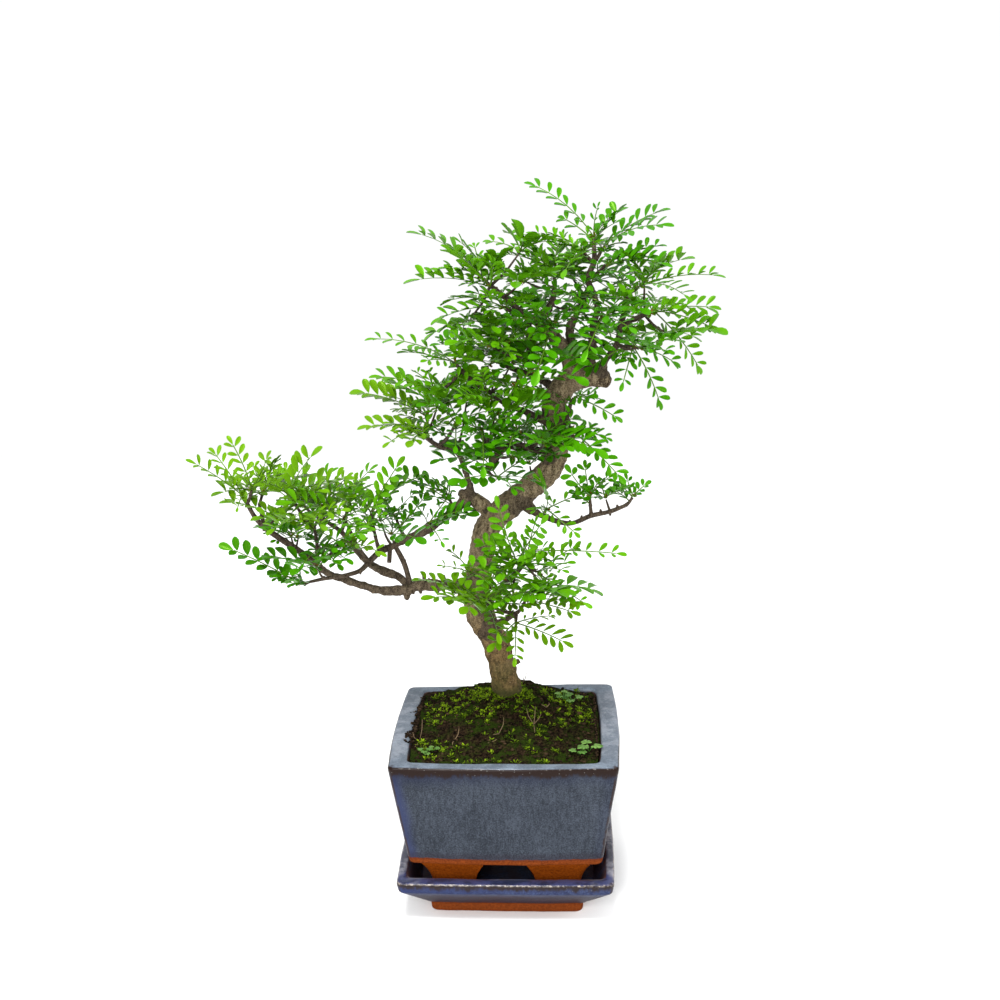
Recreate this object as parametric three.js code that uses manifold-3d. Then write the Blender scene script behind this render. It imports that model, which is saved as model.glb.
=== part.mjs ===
// Japanese pepper bonsai in a glazed pot on its saucer. Millimetres, +Z up, the viewer at -Y.
// The origin is the centre of the saucer's flat underside.
import * as THREE from 'three';
import { mergeVertices } from 'three/addons/utils/BufferGeometryUtils.js';
import Module from 'manifold-3d';

const wasm = await Module();
wasm.setup();

// Driving dimensions
const SEAT = 0.3; // clearance between pieces that touch
const POT_WIDTH = 150; // outer width over the rim at the corners, left to right
const POT_DEPTH = 134; // outer depth over the rim at the corners, front to back
const POT_TOP = 118; // height of the rim above the ground
const POT_UNDERSIDE = 41; // underside of the pot's body, between its feet
const POT_FLOOR = 49; // inside floor of the pot
const POT_BAND = 6.5; // bare clay below the glaze
const POT_WAIST = 82; // height at which the pot's side turns outward
const RIM_SIDE = 12; // width of the rim's top at the left and right
const RIM_FRONT = 8; // width of the rim's top at the front and back
const SAUCER_WIDTH = 145;
const SAUCER_DEPTH = 129;
const SAUCER_TOP = 32.5;
const SAUCER_FLOOR = 17.5;
const SIDE_BOW = 2; // how far each side swells outward at its middle
const FOOT_RING = [50, 42]; // half width and half depth of the ring of feet at the ground
const FOOT_SPREAD = 6; // how far the ring widens up to the pot's body
const FOOT_THICK = 12;
const FOOT_GAP_FRONT = 30; // gap between two feet at its narrow top
const FOOT_GAP_SIDE = 26;
const FOOT_GAP_SHIFT = 1.5; // the front gap sits a little to the right
const DRAIN_RADIUS = 7;
const DRAIN_SIDES = 12;
const DRAIN_SPACING = 56; // between the centres of the two drain holes
const MESH_SIZE = 18; // side of the plastic mesh over a drain hole
const MESH_THICK = 1;
const MESH_CELLS = 2; // openings along each side of the mesh
const MESH_HOLE = 3.8;
const SOIL_EDGE = 115; // height of the soil along the pot's wall
const SOIL_MOUND = 19; // rise of the soil round the trunk
const TRUNK_FOOT = [0, 22]; // where the trunk enters the soil
const TRUNK_BOTTOM = 100; // lower end of the root crown, inside the soil
const BLADE_THICK = 0.6;
const RIB_WIDTH = 0.9;
const LEAF_SETBACK = 0.7; // from a twig's end, past its clearance, to where its leaves meet
const TWIG_TIP_RADIUS = 0.9;
const LONG_LEAF = 46; // from this length a leaf has three pairs of leaflets, not two
const LEAF_CLEAR = 2; // length of a leaf's foot that may touch its neighbours
const LEAST_ANGLE = 0.45; // between two leaves of a spray
const LAYOUT_STEM = 40; // stretch that keeps the arms apart while a spray is laid out flat
const LEAST_SECTORS = 3; // a spray of two leaves is laid out bent, so that none of its faces spans both
const ATTEMPTS = 12; // tries at finding room for a leaf
const TRUNK_SIDES = 9;
const TRUNK_STEPS = 24;
const THICK_LIMB = 4; // from this radius a limb has five sides, below it four
const TWIG_SAG = 0.08; // part of its length by which a twig hangs below a straight line
const OUTLINE_POINTS = 16; // round a squared outline: three at each corner, one on each side

// Colours
const GLAZE = { color: 0x3d4656, roughness: 0.35, metalness: 0 };
const SAUCER_GLAZE = { color: 0x333a54, roughness: 0.35, metalness: 0 };
const EARTH = { color: 0x241c12, roughness: 1, metalness: 0 };
const BARK = { color: 0x6b5a48, roughness: 0.9, metalness: 0 };
const PLASTIC = { color: 0x1d1f1e, roughness: 0.6, metalness: 0 };

// Solids

function solidOf(geometry) {
  const bare = geometry.clone();
  bare.deleteAttribute('normal');
  bare.deleteAttribute('uv');
  const merged = mergeVertices(bare, 1e-4);
  return new wasm.Manifold(new wasm.Mesh({
    numProp: 3,
    vertProperties: merged.attributes.position.array,
    triVerts: merged.index.array,
  }));
}

function meshOf(name, solid, look) {
  const data = solid.getMesh();
  const geometry = new THREE.BufferGeometry();
  geometry.setAttribute('position', new THREE.BufferAttribute(data.vertProperties, 3));
  geometry.setIndex(new THREE.BufferAttribute(data.triVerts, 1));
  geometry.computeVertexNormals();
  const mesh = new THREE.Mesh(geometry, new THREE.MeshStandardMaterial(look));
  mesh.name = name;
  return mesh;
}

// Repeatable draw between 0 and 1 for a pair of whole numbers
function draw(a, b) {
  const wave = Math.sin(a * 12.9898 + b * 78.233 + 4.1414) * 43758.5453;
  return wave - Math.floor(wave);
}

// Pottery

// Outline of a rectangle with round corners whose sides swell outward
function bowedOutline(halfX, halfY, corner) {
  const points = [];
  const signs = [[1, 1], [-1, 1], [-1, -1], [1, -1]];
  signs.forEach(([sx, sy], quarter) => {
    for (const turn of [0, 0.5, 1]) {
      const angle = (quarter + turn) * Math.PI / 2;
      points.push(new THREE.Vector2(
        sx * (halfX - corner) + corner * Math.cos(angle),
        sy * (halfY - corner) + corner * Math.sin(angle),
      ));
    }
    const alongX = quarter % 2 === 0;
    points.push(alongX
      ? new THREE.Vector2(0, sy * (halfY + SIDE_BOW))
      : new THREE.Vector2(sx * (halfX + SIDE_BOW), 0));
  });
  return points;
}

// Closed shell of revolution whose rings are squared off: each ring is [halfX, halfY, corner, z],
// the first and the last close to a point on the axis, and `heightAt` may lift each point
function squaredLathe(rings, heightAt = (x, y, z) => z) {
  const profile = rings.map(([halfX, , , z]) => new THREE.Vector2(halfX, z));
  profile.unshift(new THREE.Vector2(0, rings[0][3]));
  profile.push(new THREE.Vector2(0, rings[rings.length - 1][3]));
  const geometry = new THREE.LatheGeometry(profile, OUTLINE_POINTS);
  const position = geometry.attributes.position;
  const outlines = rings.map(([halfX, halfY, corner]) => bowedOutline(halfX, halfY, corner));
  for (let side = 0; side <= OUTLINE_POINTS; side += 1) {
    for (let level = 0; level < profile.length; level += 1) {
      const outline = outlines[level - 1];
      const point = outline ? outline[side % OUTLINE_POINTS] : new THREE.Vector2(0, 0);
      const height = heightAt(point.x, point.y, profile[level].y);
      position.setXYZ(side * profile.length + level, point.x, point.y, height);
    }
  }
  return solidOf(geometry);
}

function drainHole(x) {
  const depth = 2.5 * (POT_FLOOR - POT_UNDERSIDE);
  const drill = new THREE.CylinderGeometry(DRAIN_RADIUS, DRAIN_RADIUS, depth, DRAIN_SIDES);
  drill.rotateX(Math.PI / 2);
  drill.translate(x, 0, (POT_FLOOR + POT_UNDERSIDE) / 2);
  return solidOf(drill);
}

// Gap between two feet: wider at the ground, pushed through along X or Y. Heights are measured
// down from the pot's underside.
function footGap(width, alongX) {
  const half = [[0.5, -0.5], [0.75, -14], [0.8, -30]];
  const outline = half.map(([part, height]) => new THREE.Vector2(width * part, height));
  half.reverse().forEach(([part, height]) => outline.push(new THREE.Vector2(-width * part, height)));
  const shape = new THREE.Shape(outline);
  const gap = new THREE.ExtrudeGeometry(shape, { depth: POT_WIDTH, bevelEnabled: false });
  gap.translate(0, 0, -POT_WIDTH / 2);
  gap.rotateX(Math.PI / 2);
  if (alongX) gap.rotateZ(Math.PI / 2);
  gap.translate(alongX ? 0 : FOOT_GAP_SHIFT, 0, POT_UNDERSIDE);
  return solidOf(gap);
}

// Four bracket feet, left where a ring under the body is cut through on each side
function buildFeet() {
  const bottom = SAUCER_FLOOR + SEAT;
  const top = POT_UNDERSIDE + 1;
  const [halfX, halfY] = FOOT_RING;
  const ring = squaredLathe([
    [halfX, halfY, 4, bottom],
    [halfX + FOOT_SPREAD / 4, halfY + FOOT_SPREAD / 4, 4, bottom + 10],
    [halfX + FOOT_SPREAD, halfY + FOOT_SPREAD, 4, top],
  ]);
  const inside = squaredLathe([
    [halfX - FOOT_THICK, halfY - FOOT_THICK, 3, bottom - 5],
    [halfX - FOOT_THICK, halfY - FOOT_THICK, 3, POT_UNDERSIDE],
  ]);
  const frontGap = footGap(FOOT_GAP_FRONT, false);
  const sideGap = footGap(FOOT_GAP_SIDE, true);
  return ring.subtract(inside).subtract(frontGap).subtract(sideGap);
}

function buildPot() {
  const halfX = POT_WIDTH / 2;
  const halfY = POT_DEPTH / 2;
  const outside = squaredLathe([
    [halfX - 16, halfY - 16, 4, POT_UNDERSIDE],
    [halfX - 11, halfY - 11, 4, POT_UNDERSIDE + 2],
    [halfX - 10, halfY - 10, 4, POT_UNDERSIDE + POT_BAND],
    [halfX - 5, halfY - 5, 4, POT_WAIST],
    [halfX, halfY, 4, POT_TOP - 1.5],
    [halfX - 1.5, halfY - 1.5, 4, POT_TOP],
  ]);
  const inside = squaredLathe([
    [halfX - 20, halfY - 18, 6, POT_FLOOR],
    [halfX - RIM_SIDE - 1, halfY - RIM_FRONT - 1, 5, POT_TOP - 3],
    [halfX - RIM_SIDE, halfY - RIM_FRONT, 5, POT_TOP + 5],
  ]);
  const left = drainHole(-DRAIN_SPACING / 2);
  const right = drainHole(DRAIN_SPACING / 2);
  return outside.subtract(inside).add(buildFeet()).subtract(left).subtract(right);
}

function buildSaucer() {
  const halfX = SAUCER_WIDTH / 2;
  const halfY = SAUCER_DEPTH / 2;
  const outside = squaredLathe([
    [halfX - 22, halfY - 22, 5, 0],
    [halfX - 21, halfY - 21, 5, 7],
    [halfX - 18, halfY - 18, 5, 8.5],
    [halfX - 1, halfY - 1, 4, 26],
    [halfX, halfY, 4, SAUCER_TOP - 1],
    [halfX - 1, halfY - 1, 4, SAUCER_TOP],
  ]);
  const inside = squaredLathe([
    [halfX - 14, halfY - 14, 5, SAUCER_FLOOR],
    [halfX - 6.5, halfY - 6.5, 4, SAUCER_TOP - 2],
    [halfX - 5, halfY - 5, 4, SAUCER_TOP + 3],
  ]);
  return outside.subtract(inside);
}

// Square of coarse plastic mesh that keeps the soil off a drain hole
function buildDrainMesh(x) {
  const height = POT_FLOOR + SEAT + MESH_THICK / 2;
  const plate = new THREE.BoxGeometry(MESH_SIZE, MESH_SIZE, MESH_THICK);
  plate.translate(x, 0, height);
  let sheet = solidOf(plate);
  const pitch = MESH_SIZE / (MESH_CELLS + 0.4);
  for (let cell = 0; cell < MESH_CELLS * MESH_CELLS; cell += 1) {
    const column = (cell % MESH_CELLS) - (MESH_CELLS - 1) / 2;
    const row = Math.floor(cell / MESH_CELLS) - (MESH_CELLS - 1) / 2;
    const cut = new THREE.BoxGeometry(MESH_HOLE, MESH_HOLE, MESH_THICK * 3);
    cut.translate(x + column * pitch, row * pitch, height);
    sheet = sheet.subtract(solidOf(cut));
  }
  return sheet;
}

// Height of the soil, without its lumps, at a place inside the pot
function soilHeight(x, y) {
  const away = Math.hypot((x - TRUNK_FOOT[0]) / 62, (y - TRUNK_FOOT[1]) / 72);
  return SOIL_EDGE + SOIL_MOUND * Math.exp(-2.2 * away * away);
}

function buildSoil() {
  const halfX = POT_WIDTH / 2 - SEAT;
  const halfY = POT_DEPTH / 2 - SEAT;
  const bottom = POT_FLOOR + 2 * SEAT + MESH_THICK;
  const spread = [0.97, 0.8, 0.62, 0.44, 0.24];
  const rings = [
    [halfX - 20, halfY - 18, 6, bottom],
    [halfX - RIM_SIDE - 1.4, halfY - RIM_FRONT - 1.4, 5, SOIL_EDGE - 1],
  ];
  const wide = halfX - RIM_SIDE - 1.4;
  const deep = halfY - RIM_FRONT - 1.4;
  spread.forEach((part) => rings.push([wide * part, deep * part, 5 * part, SOIL_EDGE]));
  const lumpy = squaredLathe(rings, (x, y, z) => {
    if (z < SOIL_EDGE) return z;
    const lump = 2.2 * (draw(Math.round(x * 3), Math.round(y * 3)) - 0.5);
    return soilHeight(x, y) + lump;
  });
  return lumpy.subtract(trunkPocket());
}

// Wood

// Limbs of the tree, each a list of [x, y, z, radius] from its root to its end
const LIMBS = {
  trunk: [
    [0, 22, TRUNK_BOTTOM, 11.5], [0, 22, 124, 11.8], [-1, 22, 136, 10.4], [-3, 20, 150, 9.8],
    [-5, 19, 162, 10.1], [-7, 18, 171, 9.3], [-15, 15, 187, 8.6], [-19, 13, 204, 8.9],
    [-18, 12, 219, 8.5], [-15, 10, 239, 7.4], [-11, 8, 257, 8.0], [-2, 8, 267, 8.7],
    [8, 7, 276, 8.6], [21, 6, 288, 8.3], [32, 4, 299, 7.6], [36, 2, 314, 6.8],
    [37, 0, 331, 6.8], [34, -2, 342, 7.1], [39, -1, 352, 6.8], [50, 1, 360, 6.7],
    [60, 3, 361, 6.4], [66, 5, 360, 6.1],
  ],
  low_bough: [
    [-18, 12, 217, 4.4], [-38, 6, 217, 3.7], [-57, 0, 219, 3.7], [-67, -3, 217, 3.4],
    [-83, -8, 219, 3.0], [-94, -11, 223, 2.7], [-105, -14, 228, 2.5], [-116, -16, 233, 2.3],
    [-124, -18, 242, 2.3], [-136, -20, 252, 2.1], [-146, -22, 260, 2.0], [-154, -24, 267, 1.8],
    [-160, -25, 275, 1.6], [-164, -26, 284, 1.3],
  ],
  low_fork: [
    [-63, 0, 218, 3.0], [-73, 6, 224, 2.7], [-84, 10, 227, 2.7], [-95, 16, 232, 2.4],
    [-105, 20, 242, 2.0], [-112, 23, 250, 1.7], [-123, 26, 257, 1.4],
  ],
  link: [[-63, -1, 220, 2.0], [-67, 2, 234, 1.8], [-73, 2, 247, 1.7]],
  pad_riser: [[-123, -18, 240, 1.5], [-120, -26, 255, 1.3], [-120, -32, 270, 1.0]],
  pad_tip: [[-154, -24, 265, 1.6], [-156, -20, 272, 1.3], [-159, -14, 280, 1.0]],
  mid_bough: [
    [-8, 8, 265, 5.7], [-15, 6, 274, 5.0], [-23, 6, 278, 4.3], [-32, 4, 271, 3.3],
    [-44, 3, 262, 3.2], [-56, 3, 255, 3.0], [-65, 2, 251, 2.7], [-75, 2, 246, 2.3],
    [-82, -8, 245, 2.2], [-88, -16, 241, 2.0], [-93, -22, 237, 1.6], [-102, -26, 235, 1.5],
    [-116, -27, 233, 1.3], [-127, -25, 230, 1.0],
  ],
  mid_riser: [
    [-22, 6, 277, 3.3], [-22, 5, 285, 2.6], [-25, 2, 300, 2.0], [-29, -2, 311, 1.8],
    [-41, -8, 317, 1.6], [-49, -11, 324, 1.3],
  ],
  elbow: [[34, 3, 307, 2.9], [18, -6, 315, 2.3], [2, -14, 318, 2.2], [-10, -18, 319, 1.6]],
  elbow_stub: [[3, -13, 318, 2.4], [-3, -13, 311, 2.8], [-9, -12, 302, 2.6]],
  side_bough: [
    [35, 1, 326, 2.9], [19, -4, 337, 2.1], [4, -8, 344, 1.8], [-6, -10, 352, 1.6],
    [-16, -12, 359, 1.6], [-24, -13, 367, 1.3],
  ],
  back_bough: [
    [38, 0, 350, 2.9], [25, 12, 357, 2.3], [12, 22, 360, 2.0], [1, 28, 364, 1.7],
    [-6, 31, 373, 1.3],
  ],
  crown_left: [
    [47, 0, 358, 5.8], [43, 0, 373, 4.8], [37, 0, 383, 4.5], [29, 0, 393, 3.8],
    [27, 1, 399, 3.2], [33, 4, 406, 2.2], [35, 7, 417, 1.6],
  ],
  crown_reach: [
    [31, 0, 392, 2.9], [18, -3, 399, 2.2], [11, -5, 405, 1.9], [3, -7, 413, 1.7],
    [-5, -8, 420, 1.4],
  ],
  crown_drop: [[19, -3, 399, 1.6], [19, -10, 386, 1.4], [18, -16, 376, 1.2]],
  crown_back: [
    [51, 3, 360, 4.2], [46, 8, 379, 3.5], [45, 13, 390, 2.9], [51, 19, 401, 2.3],
    [54, 24, 410, 1.5],
  ],
  leader: [
    [56, 3, 361, 3.5], [59, -2, 380, 2.5], [59, -6, 393, 2.2], [62, -9, 405, 1.9],
    [59, -7, 415, 1.9], [56, -3, 423, 1.9], [60, 1, 433, 1.7], [60, 3, 443, 1.4],
  ],
  crown_right: [
    [63, 4, 362, 3.2], [68, -3, 372, 2.2], [74, -9, 382, 1.9], [77, -11, 397, 1.9],
    [80, -11, 406, 1.7], [81, -11, 415, 1.4],
  ],
  right_arm: [[77, -11, 393, 1.6], [84, -4, 397, 1.4], [92, 4, 399, 1.2]],
  right_bough: [
    [7, 5, 277, 4.0], [25, -4, 269, 2.0], [44, -10, 265, 1.6], [58, -13, 271, 1.6],
    [70, -14, 274, 1.5], [80, -14, 278, 1.3],
  ],
  right_twig: [[38, 0, 319, 2.6], [42, -6, 333, 1.6], [45, -9, 345, 1.3]],
  low_shoot: [[-15, 12, 200, 3.4], [-3, -2, 216, 2.3], [7, -12, 230, 2.0], [15, -17, 241, 1.5]],
  base_shoot: [[-12, 14, 183, 3.1], [-1, 2, 193, 2.0], [8, -8, 202, 1.5]],
};

// Dead stubs and old pruning knobs, as [x, y, z, radius] at the root and at the cut end
const STUBS = [
  [[-53, 0, 220, 1.6], [-54, -1, 227, 1.1]],
  [[-40, 5, 218, 1.6], [-41, 4, 225, 1.0]],
  [[-76, 2, 247, 1.6], [-77, 1, 235, 1.5]],
  [[-62, -1, 219, 2.6], [-66, -5, 211, 1.9]],
  [[-22, 6, 280, 3.6], [-29, 4, 283, 2.6]],
  [[2, 18, 155, 2.6], [9, 15, 159, 1.6]],
  [[37, 1, 320, 5.0], [47, 2, 318, 3.0]],
  [[62, 3, 361, 5.5], [70, 3, 355, 3.6]],
  [[14, 4, 276, 4.4], [20, -1, 270, 3.0]],
];

// Sprays of leaves: the limb that the twig grows from, the bud at the twig's end, the tips of
// the leaves that show best, how many more leaves fill in, how young the leaves are (0 to 1), and
// how far their faces tilt to the viewer
const SPRAYS = [
  ['low_bough', [-166, -27, 289], [[-197, -36, 315], [-188, -14, 317], [-165, -50, 286]], 0, 1, 0.5],
  ['low_bough', [-158, -36, 296], [[-170, -38, 330], [-160, -66, 311]], 1, 1, 0.5],
  ['pad_tip', [-158, -8, 285], [[-153, -4, 311], [-140, 8, 299]], 1, 0.6, 0.5],
  ['pad_riser', [-134, -34, 290], [[-115, -40, 321], [-144, -66, 306]], 1, 0.5, 0.5],
  ['low_fork', [-139, 30, 267], [[-117, 32, 291], [-160, 48, 285]], 1, 0.3, 0.4],
  ['pad_riser', [-116, -22, 280], [[-97, -26, 302], [-125, -52, 306]], 1, 0.6, 0.5],
  ['low_fork', [-105, 14, 272], [[-87, 16, 297], [-98, 50, 274]], 1, 0.3, 0.4],
  ['mid_bough', [-87, -6, 272], [[-65, -12, 308], [-94, -38, 294]], 1, 0.3, 0.5],
  ['mid_bough', [-73, 14, 262], [[-59, 10, 281], [-90, 34, 270]], 1, 0.2, 0.5],
  ['mid_bough', [-132, -24, 228], [[-180, -34, 258]], 1, 0.1, 1.3],
  ['pad_riser', [-115, -38, 257], [[-124, -60, 252], [-100, -60, 252]], 1, 0.1, 0.7],
  ['low_bough', [-102, -42, 262], [[-73, -54, 258]], 1, 0.5, 0.8],
  ['pad_riser', [-124, -50, 280], [[-137, -84, 282], [-104, -86, 285]], 1, 0.6, 0.6],
  ['mid_bough', [-100, -34, 276], [[-83, -72, 275], [-102, -74, 291]], 2, 0.4, 0.6],
  ['low_fork', [-131, 56, 259], [[-154, 84, 262], [-119, 86, 266]], 1, 0.2, 0.4],
  ['mid_bough', [-37, 12, 278], [[-70, 18, 290], [-51, -4, 295]], 1, 0.2, 0.5],
  ['mid_bough', [-49, -10, 265], [[-21, -24, 279], [-56, -26, 284], [-36, -34, 258]], 0, 0.1, 0.9],
  ['mid_riser', [-49, -15, 330], [[-87, -18, 332], [-71, -40, 325]], 1, 0.7, 0.5],
  ['mid_riser', [-48, 2, 334], [[-95, 6, 350], [-71, 30, 333]], 1, 0.8, 0.6],
  ['side_bough', [-41, -16, 353], [[-79, -20, 365], [-44, -30, 370]], 2, 0.3, 0.5],
  ['side_bough', [-28, -13, 372], [[-85, -16, 388], [-66, 14, 375]], 2, 0.5, 0.4],
  ['mid_riser', [-28, -22, 334], [[-26, -54, 325], [-46, -58, 354]], 1, 0.2, 0.7],
  ['elbow', [-11, -28, 333], [[-9, -56, 311], [-27, -62, 357]], 1, 0.2, 0.8],
  ['side_bough', [-6, -30, 352], [[-23, -66, 361], [-9, -60, 376]], 2, 0.3, 0.6],
  ['elbow', [12, -30, 333], [[7, -64, 326], [30, -62, 359]], 2, 0.2, 0.7],
  ['elbow', [26, -28, 328], [[63, -52, 322]], 1, 0.1, 0.8],
  ['back_bough', [-15, 36, 368], [[-43, 56, 376], [-32, 74, 348]], 2, 0.2, 0.4],
  ['elbow', [11, 34, 317], [[-10, 66, 318], [29, 70, 317]], 1, 0.1, 0.3],
  ['right_twig', [47, -10, 349], [[76, -16, 335], [62, 8, 344]], 0, 0.2, 0.9],
  ['right_twig', [46, -16, 328], [[70, -20, 323], [72, -30, 310]], 1, 0.1, 1],
  ['right_bough', [57, -14, 284], [[54, -12, 305], [42, -18, 298], [71, -18, 299]], 0, 0.2, 0.9],
  ['right_bough', [85, -14, 284], [[93, -14, 292], [82, -16, 298]], 0, 0.2, 0.8],
  ['right_bough', [29, -18, 277], [[49, -34, 264], [24, -44, 304]], 1, 0.3, 0.9],
  ['low_shoot', [17, -20, 249], [[82, -28, 249], [23, -30, 275]], 0, 0.2, 1.3],
  ['low_shoot', [10, -30, 245], [[-2, -38, 289], [31, -66, 277]], 0, 0.1, 1],
  ['low_shoot', [23, -22, 235], [[48, -44, 247], [47, -64, 236]], 1, 0.1, 0.8],
  ['base_shoot', [15, -20, 216], [[51, -48, 223], [48, -30, 210]], 1, 0.5, 0.8],
  ['base_shoot', [8, -18, 199], [[43, -34, 190], [8, -46, 182]], 1, 0.7, 0.8],
  ['low_shoot', [-21, -8, 230], [[-42, -18, 239], [-37, 6, 242]], 1, 0.3, 0.7],
  ['base_shoot', [-13, -12, 211], [[-48, -36, 223], [-1, -56, 201]], 1, 0.9, 0.8],
  ['leader', [60, 4, 448], [[17, 14, 482], [63, -2, 469]], 0, 0.3, 0.4],
  ['leader', [66, 6, 442], [[105, 10, 464], [107, -14, 455]], 0, 0.2, 0.4],
  ['leader', [68, -4, 432], [[105, 8, 442], [106, -20, 430]], 1, 0.2, 0.6],
  ['leader', [53, -6, 440], [[19, -2, 452], [41, -52, 431]], 2, 0.5, 0.5],
  ['crown_reach', [-10, -6, 425], [[-54, -10, 454], [-16, 6, 445]], 1, 0.4, 0.15],
  ['crown_reach', [-5, -16, 420], [[-54, -22, 425], [-29, -44, 445]], 2, 0.4, 0.15],
  ['crown_reach', [4, -20, 407], [[-37, -34, 402], [-35, -4, 409]], 3, 0.4, 0.2],
  ['crown_left', [35, 12, 426], [[1, 28, 436], [39, 44, 444]], 3, 0.3, 0.2],
  ['crown_right', [88, -14, 419], [[139, -18, 425], [116, -52, 415]], 2, 0.4, 0.3],
  ['right_arm', [98, 8, 401], [[138, 10, 402], [136, -8, 391], [130, 14, 359]], 0, 0.3, 0.8],
  ['crown_right', [84, -16, 382], [[102, -18, 343], [76, -40, 360]], 1, 0.2, 0.9],
  ['crown_back', [58, 32, 416], [[78, 58, 427], [38, 72, 417]], 3, 0.1, 0.3],
  ['crown_left', [34, -24, 399], [[24, -64, 371], [18, -62, 414]], 3, 0.2, 0.8],
  ['leader', [64, -28, 402], [[53, -66, 384], [82, -66, 399]], 3, 0.2, 0.8],
];

// Round tapering bar bent along a list of [x, y, z, radius], with `grow` added to its radius
function buildLimb(points, sides, steps, grow) {
  const centres = points.map(([x, y, z]) => new THREE.Vector3(x, y, z));
  const curve = new THREE.CatmullRomCurve3(centres, false, 'centripetal');
  const frames = curve.computeFrenetFrames(steps);
  const bar = new THREE.CylinderGeometry(1, 1, 1, sides, steps);
  const position = bar.attributes.position;
  const vertex = new THREE.Vector3();
  for (let i = 0; i < position.count; i += 1) {
    vertex.fromBufferAttribute(position, i);
    const step = Math.round((vertex.y + 0.5) * steps);
    const place = curve.getPointAt(step / steps);
    const along = curve.getUtoTmapping(step / steps) * (points.length - 1);
    const before = Math.min(Math.floor(along), points.length - 2);
    const radius = THREE.MathUtils.lerp(points[before][3], points[before + 1][3], along - before);
    place.addScaledVector(frames.normals[step], -vertex.x * (radius + grow));
    place.addScaledVector(frames.binormals[step], vertex.z * (radius + grow));
    position.setXYZ(i, place.x, place.y, place.z);
  }
  return solidOf(bar);
}

// Twig from its limb to just short of the bud at its end
function twigRoute(limbPoints, bud) {
  const target = new THREE.Vector3(...bud);
  let nearest = limbPoints[0];
  let least = Infinity;
  limbPoints.forEach((point) => {
    const gap = target.distanceTo(new THREE.Vector3(point[0], point[1], point[2]));
    const cost = gap + (point[2] > bud[2] ? 6 : 0);
    if (cost < least) {
      least = cost;
      nearest = point;
    }
  });
  const root = new THREE.Vector3(nearest[0], nearest[1], nearest[2]);
  const reach = target.clone().sub(root);
  const end = target.clone().addScaledVector(reach.clone().normalize(), -(LEAF_SETBACK + SEAT));
  const middle = root.clone().lerp(end, 0.5);
  middle.z -= reach.length() * TWIG_SAG;
  const thick = Math.min(nearest[3], TWIG_TIP_RADIUS + 0.5);
  return [
    [root.x, root.y, root.z, thick],
    [middle.x, middle.y, middle.z, (thick + TWIG_TIP_RADIUS) / 2],
    [end.x, end.y, end.z, TWIG_TIP_RADIUS],
  ];
}

// The trunk with its clearance, cut out of the soil
function trunkPocket() {
  const [[x, y, z, radius], ...above] = LIMBS.trunk;
  return buildLimb([[x, y, z - SEAT, radius], ...above], TRUNK_SIDES, TRUNK_STEPS, SEAT);
}

function buildTree() {
  const pieces = Object.values(LIMBS).map((points) => {
    if (points === LIMBS.trunk) return buildLimb(points, TRUNK_SIDES, TRUNK_STEPS, 0);
    const sides = points[0][3] > THICK_LIMB ? 5 : 4;
    return buildLimb(points, sides, points.length - 1, 0);
  });
  STUBS.forEach((points) => pieces.push(buildLimb(points, 4, 1, 0)));
  SPRAYS.forEach(([limb, bud]) => pieces.push(buildLimb(twigRoute(LIMBS[limb], bud), 3, 1, 0)));
  return wasm.Manifold.union(pieces);
}

// Leaves

// One side of a compound leaf of the given length, from its foot to its tip, cut to the rib
function leafSide(length) {
  const rib = RIB_WIDTH / 2;
  const pairs = length > LONG_LEAF ? 3 : 2;
  const first = length * 0.26;
  const last = length * 0.74;
  const pitch = (last - first) / pairs;
  const reach = THREE.MathUtils.clamp(length * 0.28, 6, 11);
  const width = Math.min(pitch * 0.85, 7);
  const side = [];
  for (let pair = 0; pair < pairs; pair += 1) {
    const heel = first + pitch * pair;
    const stem = heel + pitch * 0.45;
    side.push([heel, rib]);
    side.push([stem + reach * 0.4 - width * 0.4, rib + reach * 0.66 + width * 0.25]);
    side.push([stem + reach * 0.57 + width * 0.2, rib + reach * 0.84 - width * 0.12]);
  }
  side.push([last, rib]);
  side.push([length * 0.91, width * 0.42]);
  return side;
}

// Turns a leaf's own [along, across, rise] into the tree's frame, over an arch from foot to tip
function leafPlace(leaf, along, across, rise) {
  const part = along / leaf.length;
  const lift = rise + 4 * leaf.arch * leaf.length * part * (1 - part);
  return leaf.bud.clone()
    .addScaledVector(leaf.ahead, along)
    .addScaledVector(leaf.across, across)
    .addScaledVector(leaf.up, lift);
}

// One leaf by itself, from `foot` to its tip, to see what it would cross
function buildLeaf(leaf, foot) {
  const side = [[foot, RIB_WIDTH / 2], ...leafSide(leaf.length)];
  const outline = side.map(([along, across]) => new THREE.Vector2(along, across));
  outline.push(new THREE.Vector2(leaf.length, 0));
  side.reverse().forEach(([along, across]) => outline.push(new THREE.Vector2(along, -across)));
  const shape = new THREE.Shape(outline);
  const blade = new THREE.ExtrudeGeometry(shape, { depth: BLADE_THICK, bevelEnabled: false });
  const position = blade.attributes.position;
  for (let i = 0; i < position.count; i += 1) {
    const rise = position.getZ(i) - BLADE_THICK / 2;
    const place = leafPlace(leaf, position.getX(i), position.getY(i), rise);
    position.setXYZ(i, place.x, place.y, place.z);
  }
  return solidOf(blade);
}

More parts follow.
